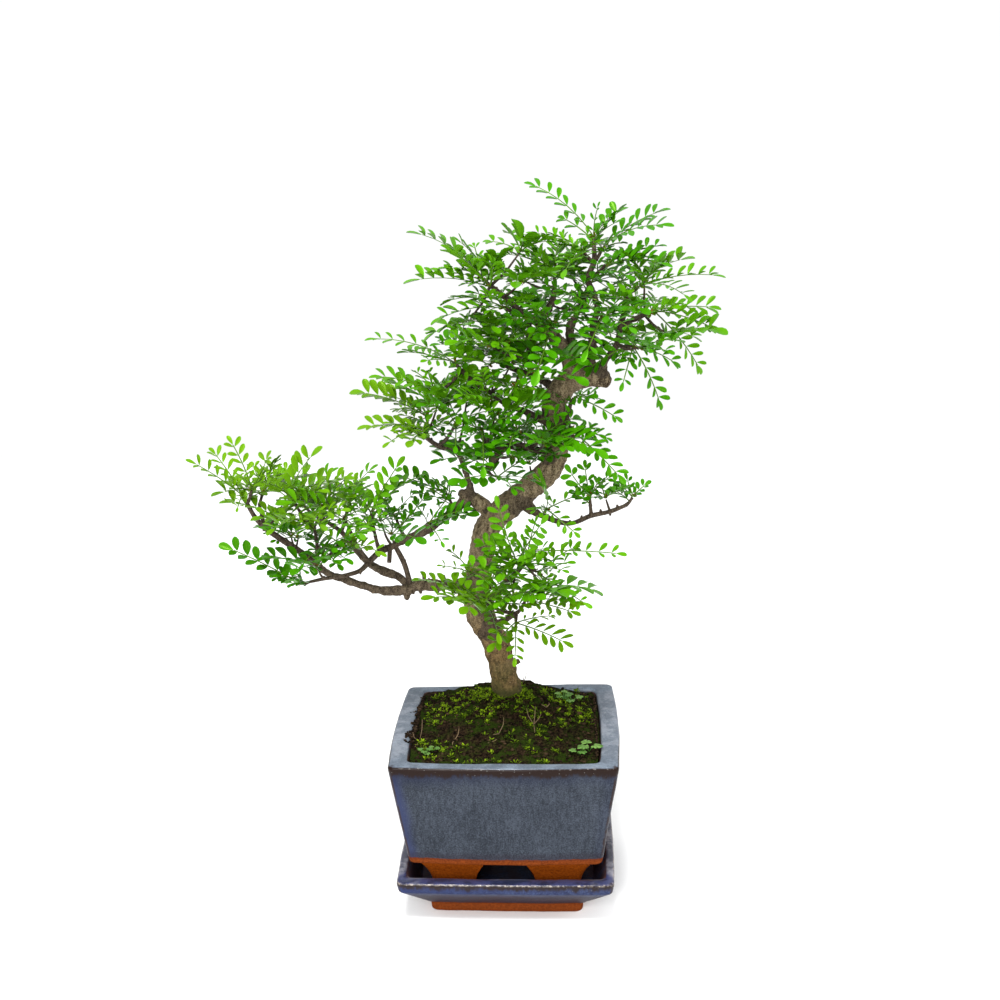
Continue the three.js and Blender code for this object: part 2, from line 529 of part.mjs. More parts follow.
// Tip of a leaf that fills in, spread to one side of the leaves that show best
function fillTip(bud, tips, number, serial) {
  const ahead = new THREE.Vector3();
  let reach = 0;
  tips.forEach((tip) => {
    const toward = new THREE.Vector3(...tip).sub(bud);
    reach += toward.length() / tips.length;
    ahead.add(toward.normalize());
  });
  ahead.normalize();
  const wide = 1.0 + 0.8 * Math.floor(number / 2) + 0.5 * draw(serial, 11);
  ahead.applyAxisAngle(new THREE.Vector3(0, 0, 1), number % 2 === 0 ? wide : -wide);
  ahead.z = ahead.z * 0.5 + 0.45 * draw(serial, 12);
  ahead.normalize();
  const length = THREE.MathUtils.clamp(reach * 0.8, 20, 32);
  return bud.clone().addScaledVector(ahead, length);
}

// The tries for one leaf: each later one swings its tip and its face a little further
function leafTry(bud, tip, tilt, serial, attempt) {
  const swing = new THREE.Vector3(
    draw(serial, attempt * 5 + 21) - 0.5,
    draw(serial, attempt * 5 + 22) - 0.5,
    draw(serial, attempt * 5 + 23) - 0.5,
  );
  const ahead = tip.clone().addScaledVector(swing, attempt * 5).sub(bud);
  const length = ahead.length();
  ahead.normalize();
  const arch = 0.04 + 0.08 * draw(serial, attempt * 5 + 24);
  const roll = (draw(serial, attempt * 5 + 25) - 0.5) * (0.8 + 0.3 * attempt);
  const up = new THREE.Vector3(Math.sin(roll), -tilt, Math.cos(roll));
  up.addScaledVector(ahead, -up.dot(ahead)).normalize();
  const across = new THREE.Vector3().crossVectors(up, ahead);
  return { bud, length, ahead, up, across, arch };
}

function overlaps(a, b) {
  const boxA = a.boundingBox();
  const boxB = b.boundingBox();
  for (let axis = 0; axis < 3; axis += 1) {
    const apart = boxA.min[axis] > boxB.max[axis] + SEAT || boxB.min[axis] > boxA.max[axis] + SEAT;
    if (apart) return false;
  }
  return a.minGap(b, SEAT) < SEAT / 3;
}

// Leaves of one spray: for each, the first try that crosses nothing built before it
function chooseLeaves(number, others) {
  const [, budPlace, tips, more, , tilt] = SPRAYS[number];
  const bud = new THREE.Vector3(...budPlace);
  const ends = tips.map((tip) => new THREE.Vector3(...tip));
  for (let extra = 0; extra < more; extra += 1) {
    ends.push(fillTip(bud, tips, extra, number * 10 + extra));
  }
  const leaves = [];
  const blades = [];
  ends.forEach((tip, slot) => {
    for (let attempt = 0; attempt < ATTEMPTS; attempt += 1) {
      const leaf = leafTry(bud, tip, tilt, number * 10 + slot, attempt);
      const whole = buildLeaf(leaf, 0);
      const blade = buildLeaf(leaf, LEAF_CLEAR);
      const narrow = leaves.some((other) => other.ahead.angleTo(leaf.ahead) < LEAST_ANGLE);
      const blocked = others.some((other) => overlaps(whole, other))
        || blades.some((other) => overlaps(blade, other));
      if (!narrow && !blocked) {
        leaves.push(leaf);
        blades.push(blade);
        return;
      }
    }
  });
  return leaves;
}

// Corner where the feet of two neighbouring leaves meet, on the twig's end
function footCorner(leaf, next) {
  const corner = leaf.across.clone().sub(next.across);
  const spread = Math.max(corner.length(), 1.3);
  return leaf.bud.clone().addScaledVector(corner, RIB_WIDTH / (spread * spread));
}

// A spray is one blade: its leaves are laid out flat round a hub, cut as a single outline, and
// each arm of it is then swung to where its leaf grows
function buildSpray(leaves) {
  const hubUp = new THREE.Vector3();
  leaves.forEach((leaf) => hubUp.add(leaf.up));
  hubUp.normalize();
  const zero = leaves[0].ahead.clone().addScaledVector(hubUp, -leaves[0].ahead.dot(hubUp));
  zero.normalize();
  const quarter = new THREE.Vector3().crossVectors(hubUp, zero);
  const bearing = (leaf) => {
    const angle = Math.atan2(leaf.ahead.dot(quarter), leaf.ahead.dot(zero));
    return angle < -1e-6 ? angle + 2 * Math.PI : angle;
  };
  const arms = [...leaves].sort((a, b) => bearing(a) - bearing(b));
  const last = arms.length - 1;
  const sectors = Math.max(arms.length, LEAST_SECTORS);
  const sector = 2 * Math.PI / sectors;
  const outline = [];
  const put = (arm, along, across) => {
    const point = new THREE.Vector2(along + LAYOUT_STEM, across);
    outline.push(point.rotateAround(new THREE.Vector2(0, 0), arm * sector));
  };
  arms.forEach((leaf, arm) => {
    const side = leafSide(leaf.length);
    side.forEach(([along, across]) => put(arm, along, -across));
    put(arm, leaf.length, 0);
    side.reverse().forEach(([along, across]) => put(arm, along, across));
    const between = arm < last ? (arm + 0.5) * sector : last * sector / 2 + Math.PI;
    outline.push(new THREE.Vector2(Math.cos(between), Math.sin(between)));
  });
  const shape = new THREE.Shape(outline);
  const blade = new THREE.ExtrudeGeometry(shape, { depth: BLADE_THICK, bevelEnabled: false });
  const position = blade.attributes.position;
  for (let i = 0; i < position.count; i += 1) {
    const x = position.getX(i);
    const y = position.getY(i);
    const rise = position.getZ(i) - BLADE_THICK / 2;
    const turn = (Math.atan2(y, x) / sector + sectors) % sectors;
    let place;
    if (Math.hypot(x, y) < LAYOUT_STEM / 2) {
      const arm = Math.min(Math.floor(turn), last);
      place = footCorner(arms[arm], arms[(arm + 1) % arms.length]).addScaledVector(hubUp, rise);
    } else {
      const arm = Math.round(turn) % sectors;
      const back = -arm * sector;
      const far = x * Math.cos(back) - y * Math.sin(back);
      const across = x * Math.sin(back) + y * Math.cos(back);
      place = leafPlace(arms[arm], far - LAYOUT_STEM, across, rise);
    }
    position.setXYZ(i, place.x, place.y, place.z);
  }
  return solidOf(blade);
}

// Assembly

const bonsai = new THREE.Group();
const pot = buildPot();
const tree = buildTree();
const soil = buildSoil();
bonsai.add(meshOf('saucer', buildSaucer(), SAUCER_GLAZE));
bonsai.add(meshOf('pot', pot, GLAZE));
bonsai.add(meshOf('drain_mesh_left', buildDrainMesh(-DRAIN_SPACING / 2), PLASTIC));
bonsai.add(meshOf('drain_mesh_right', buildDrainMesh(DRAIN_SPACING / 2), PLASTIC));
bonsai.add(meshOf('soil', soil, EARTH));
bonsai.add(meshOf('tree', tree, BARK));

const built = [pot, soil, tree];
SPRAYS.forEach(([limb, , , , young], number) => {
  const spray = buildSpray(chooseLeaves(number, built));
  built.push(spray);
  const green = new THREE.Color(0x1f6a12).lerp(new THREE.Color(0x8cc63a), young);
  const name = `spray_${String(number + 1).padStart(2, '0')}_${limb}`;
  bonsai.add(meshOf(name, spray, { color: green, roughness: 0.45, metalness: 0 }));
});

export default bonsai;
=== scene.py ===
# Japanese pepper bonsai in a glazed pot on its saucer. Metres, +Z up, the viewer at -Y.
import math

import bpy
import numpy as np
from mathutils import Matrix, Vector, noise
from mathutils.kdtree import KDTree


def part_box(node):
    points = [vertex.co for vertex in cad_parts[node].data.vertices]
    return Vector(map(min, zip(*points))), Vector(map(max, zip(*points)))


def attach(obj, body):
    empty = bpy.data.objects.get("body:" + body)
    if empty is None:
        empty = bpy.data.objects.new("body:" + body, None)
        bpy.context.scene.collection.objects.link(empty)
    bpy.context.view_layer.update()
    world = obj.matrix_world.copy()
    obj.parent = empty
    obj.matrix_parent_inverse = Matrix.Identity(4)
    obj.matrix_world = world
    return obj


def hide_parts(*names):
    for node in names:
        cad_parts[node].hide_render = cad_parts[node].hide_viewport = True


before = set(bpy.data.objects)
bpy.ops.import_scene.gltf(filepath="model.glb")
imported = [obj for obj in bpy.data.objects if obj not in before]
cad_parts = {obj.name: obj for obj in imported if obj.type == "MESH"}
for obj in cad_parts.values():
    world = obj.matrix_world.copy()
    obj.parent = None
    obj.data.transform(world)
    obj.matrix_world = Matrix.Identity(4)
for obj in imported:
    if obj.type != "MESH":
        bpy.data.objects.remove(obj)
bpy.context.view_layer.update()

# Studio. A sheet of white paper under the bonsai, a bright white room and three soft boxes,
# photographed from a little above the pot's rim.

mm = 0.001
scene = bpy.context.scene
scene.view_settings.view_transform = "Standard"

camera_place = Vector((42.46, -888.63, 520.11)) * mm
camera_turn = math.radians(2.8536)
camera_dip = math.radians(15.2028)
camera_roll = math.radians(-1.0295)
camera_data = bpy.data.cameras.new("camera")
camera_data.lens = 50.369
camera_data.sensor_width = 36
camera = bpy.data.objects.new("camera", camera_data)
camera.matrix_world = (
    Matrix.Translation(camera_place)
    @ Matrix.Rotation(camera_turn, 4, "Z")
    @ Matrix.Rotation(math.pi / 2 - camera_dip, 4, "X")
    @ Matrix.Rotation(camera_roll, 4, "Z")
)
scene.collection.objects.link(camera)
scene.camera = camera

room = bpy.data.worlds.new("white_room")
room.use_nodes = True
room_light = room.node_tree.nodes["Background"].inputs
room_light["Color"].default_value = (1, 1, 1, 1)
room_light["Strength"].default_value = 1.02
scene.world = room


def soft_box(name, place, target, size, power):
    """A square light that faces its target."""
    data = bpy.data.lights.new(name, "AREA")
    data.shape = "SQUARE"
    data.size = size
    data.energy = power
    light = bpy.data.objects.new(name, data)
    light.location = place
    light.rotation_euler = (Vector(target) - Vector(place)).to_track_quat("-Z", "Y").to_euler()
    scene.collection.objects.link(light)


soft_box("soft_box_above", place=(-0.14, -0.75, 1.72), target=(0, 0, 0.25), size=0.38, power=27)
soft_box("soft_box_right", place=(1.4, -0.6, 1.0), target=(0, 0, 0.3), size=0.5, power=8)
soft_box("soft_box_front", place=(-0.5, -2.1, 1.1), target=(0, 0, 0.3), size=1.2, power=44)

paper_half = 1.3
paper_corners = [(x * paper_half, y * paper_half, 0) for x, y in ((-1, -1), (1, -1), (1, 1), (-1, 1))]
paper_mesh = bpy.data.meshes.new("paper")
paper_mesh.from_pydata(paper_corners, [], [(0, 1, 2, 3)])
paper = bpy.data.objects.new("paper", paper_mesh)
scene.collection.objects.link(paper)


class Value:
    """Output of a shader node. Sums and products of values add Math nodes."""

    def __init__(self, socket):
        self.socket = socket

    def math(self, operation, first, second):
        tree = self.socket.id_data
        return shader_node(tree, "ShaderNodeMath", {"operation": operation}, {0: first, 1: second})

    def __add__(self, other):
        return self.math("ADD", self, other)

    def __radd__(self, other):
        return self.math("ADD", other, self)

    def __sub__(self, other):
        return self.math("SUBTRACT", self, other)

    def __rsub__(self, other):
        return self.math("SUBTRACT", other, self)

    def __mul__(self, other):
        return self.math("MULTIPLY", self, other)

    def __rmul__(self, other):
        return self.math("MULTIPLY", other, self)

    def __pow__(self, other):
        return self.math("POWER", self, other)


def shader_node(tree, kind, settings, inputs, output=0):
    """Adds one node: its settings first, then the values or links of its sockets."""
    made = tree.nodes.new(kind)
    for name, setting in settings.items():
        setattr(made, name, setting)
    for name, value in inputs.items():
        if isinstance(value, Value):
            tree.links.new(value.socket, made.inputs[name])
        else:
            made.inputs[name].default_value = value
    return Value(made.outputs[output])


class Finish:
    """A material whose colour and gloss come from nodes."""

    def __init__(self, name):
        self.material = bpy.data.materials.new(name)
        self.material.use_nodes = True
        self.tree = self.material.node_tree
        self.shader = self.tree.nodes["Principled BSDF"]
        self.place = self.node("ShaderNodeTexCoord", {}, {}, "Object")

    def node(self, kind, settings, inputs, output=0):
        return shader_node(self.tree, kind, settings, inputs, output)

    def place_on(self, axis):
        """Place along one axis, in metres."""
        return self.node("ShaderNodeSeparateXYZ", {}, {0: self.place}, axis)

    def attribute(self, name):
        """A number that the mesh keeps for each of its points."""
        return self.node("ShaderNodeAttribute", {"attribute_name": name}, {}, "Fac")

    def lumps(self, size, stretch):
        """Place counted in lumps of the given size, drawn out by `stretch`."""
        scale = [1 / (size * part) for part in stretch]
        return self.node("ShaderNodeVectorMath", {"operation": "MULTIPLY"}, {0: self.place, 1: scale})

    def grain(self, size, detail=2.0, rough=0.5, stretch=(1, 1, 1)):
        """Soft noise between 0 and 1."""
        inputs = {"Vector": self.lumps(size, stretch), "Scale": 1, "Detail": detail, "Roughness": rough}
        return self.node("ShaderNodeTexNoise", {}, inputs, "Fac")

    def specks(self, size, reach, stretch=(1, 1, 1)):
        """1 at the middle of scattered specks, falling to 0 at `reach` of their spacing."""
        inputs = {"Vector": self.lumps(size, stretch), "Scale": 1}
        away = self.node("ShaderNodeTexVoronoi", {}, inputs, "Distance")
        return self.step(away, reach, 0)

    def step(self, value, low, high):
        """Smooth step from 0 at `low` to 1 at `high`."""
        settings = {"interpolation_type": "SMOOTHSTEP"}
        inputs = {"Value": value, "From Min": low, "From Max": high}
        if low > high:
            inputs = {"Value": value, "From Min": high, "From Max": low, "To Min": 1.0, "To Max": 0.0}
        return self.node("ShaderNodeMapRange", settings, inputs, "Result")

    def mix(self, share, first, second):
        """Colour that goes from `first` to `second` as `share` goes from 0 to 1."""
        # A Mix node has several sockets of one name, so its colours are found by number
        sockets = {0: share}
        for number, colour in ((6, first), (7, second)):
            sockets[number] = colour if isinstance(colour, Value) else (*colour, 1)
        return self.node("ShaderNodeMix", {"data_type": "RGBA"}, sockets, 2)

    def over(self, colour, *coats):
        """The colour with coats laid over it, each given as its mask and its own colour."""
        for mask, coat in coats:
            colour = self.mix(mask, colour, coat)
        return colour

    def set(self, **inputs):
        """Sets sockets of the shader, with underscores for spaces in their names."""
        for name, value in inputs.items():
            target = self.shader.inputs[name.replace("_", " ")]
            if isinstance(value, Value):
                self.tree.links.new(value.socket, target)
            elif isinstance(value, tuple) and len(value) == 3:
                target.default_value = (*value, 1)
            else:
                target.default_value = value

    def relief(self, height, depth):
        """Bump of the given depth in metres."""
        self.set(Normal=self.node("ShaderNodeBump", {}, {"Height": height, "Distance": depth}, "Normal"))


paper_finish = Finish("white_paper")
paper_finish.set(
    Base_Color=paper_finish.mix(paper_finish.grain(3 * mm), (0.93, 0.93, 0.93), (0.95, 0.95, 0.95)),
    Roughness=0.95,
)
paper.data.materials.append(paper_finish.material)

# Saucer. Stoneware pressed in a mould: a bare foot, sloping sides and a raised rim round a
# trough. It is glazed dark blue down to the foot, and breaks brown where the glaze runs thin.

side_bow = 2 * mm
saucer_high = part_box("saucer")[1]
saucer_half = (saucer_high.x - side_bow, saucer_high.y - side_bow)
saucer_top = saucer_high.z
saucer_bow = 1 * mm
saucer_floor = 17.5 * mm


def squared_ring(half_x, half_y, corner, height, bow):
    """Points of a rectangle with round corners and gently bowed sides, anticlockwise."""
    corner_points = 7
    side_points = 30
    points = []
    for quarter, (sx, sy) in enumerate(((1, 1), (-1, 1), (-1, -1), (1, -1))):
        for step in range(corner_points):
            angle = (quarter + step / (corner_points - 1)) * math.pi / 2
            x = sx * (half_x - corner) + corner * math.cos(angle)
            y = sy * (half_y - corner) + corner * math.sin(angle)
            points.append((x, y, height))
        for step in range(1, side_points):
            along = 2 * step / side_points - 1
            swell = bow * (1 - along * along)
            if quarter % 2 == 0:
                points.append((-sx * along * (half_x - corner), sy * (half_y + swell), height))
            else:
                points.append((sx * (half_x + swell), -sy * along * (half_y - corner), height))
    return points


def eased(profile, radius):
    """The profile with its inner corners rounded off over `radius`, in short steps between."""
    steps = 4
    share_of_side = 0.45
    longest_step = 3 * mm
    rows = [np.array(row, float) for row in profile]
    soft = [rows[0]]
    for before, here, after in zip(rows, rows[1:], rows[2:]):
        back, on = before - here, after - here
        back *= min(radius / np.hypot(back[0], back[3]), share_of_side)
        on *= min(radius / np.hypot(on[0], on[3]), share_of_side)
        for step in range(steps + 1):
            part = step / steps
            soft.append(here + back * (1 - part) ** 2 + on * part**2)
    soft.append(rows[-1])
    fine = [soft[0]]
    for row in soft[1:]:
        start = fine[-1]
        gap = row - start
        count = max(1, math.ceil(np.hypot(gap[0], gap[3]) / longest_step))
        fine.extend(start + gap * (step + 1) / count for step in range(count))
    return fine


def new_piece(name, points, faces, *finishes):
    """Object of the given points and faces, shaded smooth."""
    mesh = bpy.data.meshes.new(name)
    mesh.from_pydata([tuple(point) for point in points], [], faces)
    mesh.validate()
    mesh.shade_smooth()
    for finish in finishes:
        mesh.materials.append(finish.material)
    piece = bpy.data.objects.new(name, mesh)
    scene.collection.objects.link(piece)
    return piece


def point_numbers(piece, name):
    """The places ("co") or normals ("normal") of the piece's points, one row for each."""
    numbers = np.empty(len(piece.data.vertices) * 3)
    piece.data.vertices.foreach_get(name, numbers)
    return numbers.reshape(-1, 3)


def roughen(piece, layers):
    """Pushes the points in and out by noise. Each layer is the size of its lumps, their height
    and a seed."""
    places = point_numbers(piece, "co")
    push = np.zeros(len(places))
    for size, height, seed in layers:
        shift = Vector((seed, seed * 1.7, -seed))
        push += [height * noise.noise(Vector(place) / size + shift) for place in places]
    places += point_numbers(piece, "normal") * push[:, None]
    piece.data.vertices.foreach_set("co", places.ravel())
    piece.data.update()


def lathe_faces(rings, count):
    """Faces between rings of `count` points, with a flat cap at both ends."""
    faces = [tuple(range(count))[::-1]]
    for ring in range(rings - 1):
        for point in range(count):
            on = (point + 1) % count
            low, high = ring * count, (ring + 1) * count
            faces.append((low + point, low + on, high + on, high + point))
    faces.append(tuple((rings - 1) * count + point for point in range(count)))
    return faces


def store(piece, name, values):
    """Keeps one number for each point of the piece, for its finish to read."""
    layer = piece.data.attributes.new(name, "FLOAT", "POINT")
    layer.data.foreach_set("value", np.array(values, np.float32))


def squared_vessel(name, half, bow, outside, inside, ease, finish):
    """A squared pot or tray. Each row of its profiles is the inset from the rim on X and on Y, the
    corner's radius and the height. Its points keep whether they are outside and near a corner."""
    corner_full = 2 * mm
    corner_fade = 7 * mm
    profile = [(half[0] - x, half[1] - y, corner, z) for x, y, corner, z in outside + inside]
    rows = eased(profile, ease)
    places = []
    corners = []
    for row in rows:
        ring = squared_ring(*row, bow)
        places.extend(ring)
        for x, y, _ in ring:
            away = math.hypot(row[0] - abs(x), row[1] - abs(y))
            corners.append(math.exp(-max(away - corner_full, 0) / corner_fade))
    count = len(places) // len(rows)
    piece = new_piece(name, places, lathe_faces(len(rows), count), finish)
    near_top = max(row[3] for row in rows) - 0.1 * mm
    rim = next(number for number, row in enumerate(rows) if row[3] > near_top)
    outer = [1.0 if number <= rim else 0.0 for number in range(len(rows)) for _ in range(count)]
    store(piece, "outer", outer)
    store(piece, "corner", corners)
    return piece


def bare_clay(finish, grain, light, dark, speckled, speck):
    """Colour of unglazed clay: two tones by its grain, with dark specks over it."""
    toned = finish.mix(finish.step(grain, 0.32, 0.72), light, dark)
    return finish.mix(finish.specks(2.4 * mm, speckled), toned, speck)


def glaze_finish(name, deep, pale, violet, top_glaze_and_painted_light, clay_top, darkening_reach, rim_top, band, glints):
    """Mottled blue glaze over brown clay. It ends in a ragged line at `clay_top` and is darker over the
    height above it that the caller gives, turns violet where it is thick, and breaks brown on the
    corners and over the `band` below the rim. Its rim top takes a colour of its own from the caller,
    glaze with painted light in it, and it has a painted glint line on the lip, painted highlight
    specks, a painted sheen on the side rims and painted shade inside the rim. `glints` says how glossy
    it is, from 0 to 1, and how strong these painted glints, sheen and shade are."""
    finish = Finish(name)
    grain, step = finish.grain, finish.step

    def under_rim(level, low, high):
        """Smooth step from 0 at a depth `low` under the rim to 1 at a depth `high`."""
        return step(level, rim_top - low, rim_top - high)

    height = finish.place_on("Z")
    across = finish.place_on("X")
    outer = finish.attribute("outer")
    inner = 1 - outer
    corner = finish.attribute("corner")
    mottle = grain(0.9 * mm, 3, 0.65)
    streaks = grain(4 * mm, 3, 0.6, (0.5, 0.5, 2.4))
    clouds = grain(26 * mm, 3, 0.55)
    drips = grain(9 * mm, 3, 0.6, (1, 1, 1.5))

    shade = step(mottle * 0.66 + streaks * 0.28 + clouds * 0.20, 0.42, 0.76)
    leftward = 0.15 + step(across, 60 * mm, -60 * mm) * 0.85
    near_corner = step(corner + clouds * 0.5, 0.45, 1.15) * leftward
    low_rim = under_rim(height + drips * 9 * mm, band + 8 * mm, -3 * mm)
    dusk = tuple(channel * (0.25 + 0.45 * glints) for channel in violet)
    # The rim's top has a colour of its own, glaze with painted light in it: a painted reflection of the
    # white room on the pot's rim, painted shade from the pot above on the saucer's rim.
    top = under_rim(height, 1.0 * mm, 0.4 * mm) * (0.75 + streaks * 0.5)
    runs = step(grain(7 * mm, 4, 0.65, (1.6, 1.6, 0.4)), 0.42, 0.62)
    dark_runs = tuple(channel * (1 - 0.75 * glints) for channel in top_glaze_and_painted_light)
    # Painted sheen: away from the corners, the glaze on top of the side rims is painted light grey as a
    # reflection of the room.
    side_rim_painted_sheen = step(across * across, (55 * mm) ** 2, (62 * mm) ** 2) * step(corner, 0.5, 0.1)
    blue = finish.over(
        finish.mix(shade, deep, pale),
        (near_corner * outer * 0.85, violet),
        (low_rim * outer * (0.45 + leftward * 0.5), dusk),
        (top * (0.6 + shade * 0.4), finish.mix(runs, dark_runs, top_glaze_and_painted_light)),
        (top * side_rim_painted_sheen * (0.15 + runs * 0.65) * glints, (0.27, 0.265, 0.285)),
    )

    below_top = under_rim(height, 0.2 * mm, 0.9 * mm)
    ragged = height + (drips * 9 + mottle * 4 + streaks * 6 - 5.5) * mm
    worn = under_rim(ragged, band - 1.0 * mm, band - 4.6 * mm) * below_top * outer
    thin_corner = step(corner, 0.93, 1.0) * step(drips, 0.38, 0.55) * outer
    pits = finish.specks(2.3 * mm, 0.13) * step(clouds, 0.35, 0.7)
    # Painted highlights: pale specks over the glaze, most of them in the brown band, stand in for tiny
    # glints.
    painted_highlight_specks = finish.specks(2.6 * mm, 0.11, (1.2, 1.2, 0.8))
    # Painted highlight: a broken pale line along the lip stands in for the lamps' glints on its rounded
    # edge.
    lip = under_rim(height, 1.5 * mm, 0.9 * mm) * outer * under_rim(height, 0, 0.4 * mm)
    glint_breakup = step(grain(2.2 * mm, 4, 0.7, (1.3, 1.3, 0.6)), 0.66 - glints * 0.27, 0.72)
    light = 0.15 + 0.28 * glints
    painted_glint = (light, light * (1 - 0.14 * glints), light * (1 - 0.28 * glints))
    inner_edge = below_top * inner * step(drips, 0.35, 0.6)
    # Painted shade: the glaze inside the rim goes nearly black further down, as if in shadow.
    trough_painted_shade = under_rim(height, 1.5 * mm, 7 * mm) * inner
    edge = height + (drips * 2.4 + mottle * 0.5) * mm
    # Darker over the low outer wall, up to the given height above the clay line.
    low_wall_darkening = step(edge, clay_top + darkening_reach, clay_top + darkening_reach / 2) * outer
    glazed = finish.over(
        blue,
        (thin_corner * 0.8, (0.022, 0.010, 0.007)),
        (worn * 0.95, (0.011, 0.0045, 0.0022)),
        (pits * 0.8, (0.012, 0.006, 0.005)),
        (painted_highlight_specks * (0.2 + worn * 0.8), (0.30, 0.31, 0.30)),
        (lip * glint_breakup * 0.85, painted_glint),
        (inner_edge * 0.8, (0.055, 0.024, 0.014)),
        (trough_painted_shade * 0.85 * glints, (0.003, 0.004, 0.012)),
        (low_wall_darkening * glints, (0.015, 0.010, 0.016)),
    )

    clay_grain = grain(1.3 * mm, 5, 0.7)
    brown, dark_brown, speck = (0.18, 0.040, 0.008), (0.085, 0.017, 0.003), (0.035, 0.010, 0.004)
    clay = bare_clay(finish, clay_grain, brown, dark_brown, 0.17, speck)
    scorched = step(edge, clay_top - 1.1 * mm, clay_top + 1.6 * mm)
    clay = finish.mix(scorched * 0.55, clay, (0.05, 0.012, 0.008))
    bare = step(edge, clay_top + 1.9 * mm, clay_top + 1.3 * mm) * outer
    lower = under_rim(height, band, band + 5 * mm) * outer
    finish.set(
        Base_Color=finish.mix(bare, glazed, clay),
        Roughness=bare * 0.55 + 0.28 + mottle * 0.14,
        Specular_IOR_Level=0.04,
        Coat_Weight=(1 - bare) * (0.06 + 0.36 * glints * glints) * (1 - lower * 0.8),
        Coat_Roughness=0.1,
    )
    finish.relief(mottle * (0.6 + bare * 0.5) + clouds * 0.8 - pits + drips * 0.8, 0.16 * mm)
    return finish


saucer_finish = glaze_finish(
    "blue_saucer_glaze",
    deep=(0.007, 0.008, 0.018),
    pale=(0.066, 0.094, 0.185),
    violet=(0.022, 0.034, 0.120),
    # The saucer's rim top: dark glaze with painted shade from the pot above it
    top_glaze_and_painted_light=(0.034, 0.038, 0.100),
    clay_top=8.6 * mm,
    darkening_reach=21 * mm,
    rim_top=saucer_top,
    band=2.6 * mm,
    glints=0.9,
)
saucer_outside = [
    (32 * mm, 32 * mm, 4 * mm, 2.5 * mm),
    (26 * mm, 26 * mm, 5 * mm, 2.5 * mm),
    (25.5 * mm, 25.5 * mm, 5 * mm, 0),
    (21 * mm, 21 * mm, 5 * mm, 0),
    (20.5 * mm, 20.5 * mm, 5 * mm, 7 * mm),
    (18 * mm, 18 * mm, 5 * mm, 8.5 * mm),
    (1 * mm, 1 * mm, 4 * mm, 25 * mm),
    (0, 0, 4 * mm, saucer_top - 1 * mm),
    (1 * mm, 1 * mm, 4 * mm, saucer_top),
]
saucer_inside = [
    (5 * mm, 5 * mm, 4 * mm, saucer_top),
    (6 * mm, 10 * mm, 4 * mm, saucer_top - 1.0 * mm),
    (7 * mm, 11 * mm, 4 * mm, saucer_top - 2.5 * mm),
    (14 * mm, 14 * mm, 5 * mm, saucer_floor),
    (40 * mm, 40 * mm, 5 * mm, saucer_floor),
]
saucer_shape = (saucer_half, saucer_bow, saucer_outside, saucer_inside)
saucer = squared_vessel("saucer_dish", *saucer_shape, ease=1.1 * mm, finish=saucer_finish)
roughen(saucer, [(26 * mm, 0.35 * mm, 3), (7 * mm, 0.12 * mm, 5)])
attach(saucer, "root")
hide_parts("saucer")

# Pot. Stoneware from the same workshop: thick squared walls that widen to a heavy rim, four
# bracket feet and two drain holes. The glaze stops short of the bare clay at the bottom.

pot_low, pot_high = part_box("pot")
pot_half = (pot_high.x - side_bow, pot_high.y - side_bow)
pot_top = pot_high.z
pot_underside = 41 * mm
pot_floor = 49 * mm
pot_waist = 82 * mm
rim_side = 12 * mm
rim_front = 8 * mm
clay_band = 6.5 * mm

pot_finish = glaze_finish(
    "grey_blue_pot_glaze",
    deep=(0.0145, 0.0175, 0.0235),
    pale=(0.047, 0.056, 0.073),
    violet=(0.024, 0.031, 0.074),
    # The pot's rim top: pale glaze with a painted reflection of the white room
    top_glaze_and_painted_light=(0.155, 0.190, 0.238),
    clay_top=pot_underside + clay_band,
    darkening_reach=8 * mm,
    rim_top=pot_top,
    band=5.2 * mm,
    glints=0.4,
)
pot_outside = [
    (40 * mm, 40 * mm, 4 * mm, pot_underside),
    (16 * mm, 16 * mm, 4 * mm, pot_underside),
    (11 * mm, 11 * mm, 4 * mm, pot_underside + 2 * mm),
    (10 * mm, 10 * mm, 4 * mm, pot_underside + clay_band),
    (5 * mm, 5 * mm, 4 * mm, pot_waist),
    (0, 0, 4 * mm, pot_top - 1.5 * mm),
    (1.5 * mm, 1.5 * mm, 4 * mm, pot_top),
]
pot_inside = [
    (rim_side, rim_front, 5 * mm, pot_top),
    (rim_side + 1 * mm, rim_front + 1 * mm, 5 * mm, pot_top - 3 * mm),
    (20 * mm, 18 * mm, 6 * mm, pot_floor),
    (45 * mm, 42 * mm, 6 * mm, pot_floor),
]
pot_shape = (pot_half, side_bow, pot_outside, pot_inside)
pot = squared_vessel("pot_body", *pot_shape, ease=1.4 * mm, finish=pot_finish)
roughen(pot, [(34 * mm, 0.5 * mm, 7), (9 * mm, 0.16 * mm, 9)])

# In the kiln the back right corner of the rim has risen and moved outwards
kiln_rise = 2.6 * mm
kiln_drift = 1.5 * mm
warped = point_numbers(pot, "co")
warp = np.clip((warped[:, 2] - pot_waist) / (pot_top - pot_waist), 0, 1)
for axis in (0, 1):
    warp *= np.clip((warped[:, axis] / pot_half[axis] + 1) / 2, 0, 1)
warped[:, 2] += kiln_rise * warp**1.5
warped[:, 1] += kiln_drift * warp**1.5
pot.data.vertices.foreach_set("co", warped.ravel())

foot_bottom = pot_low.z
foot_half = (50 * mm, 42 * mm)
foot_thick = 12 * mm
foot_spread = 9.9 * mm
foot_flare = 1.75
foot_corner = 4 * mm
foot_rows = 9
front_gap = 27 * mm
side_gap = 26 * mm
gap_shift = -0.5 * mm


def gap_half(width, height):
    """Half of the gap between two feet at a height, as a share of `width` that grows with the
    depth in millimetres under the pot."""
    down = (pot_underside - height) / mm
    return width * np.interp(down, (0.5, 14, 30), (0.5, 0.75, 0.8))


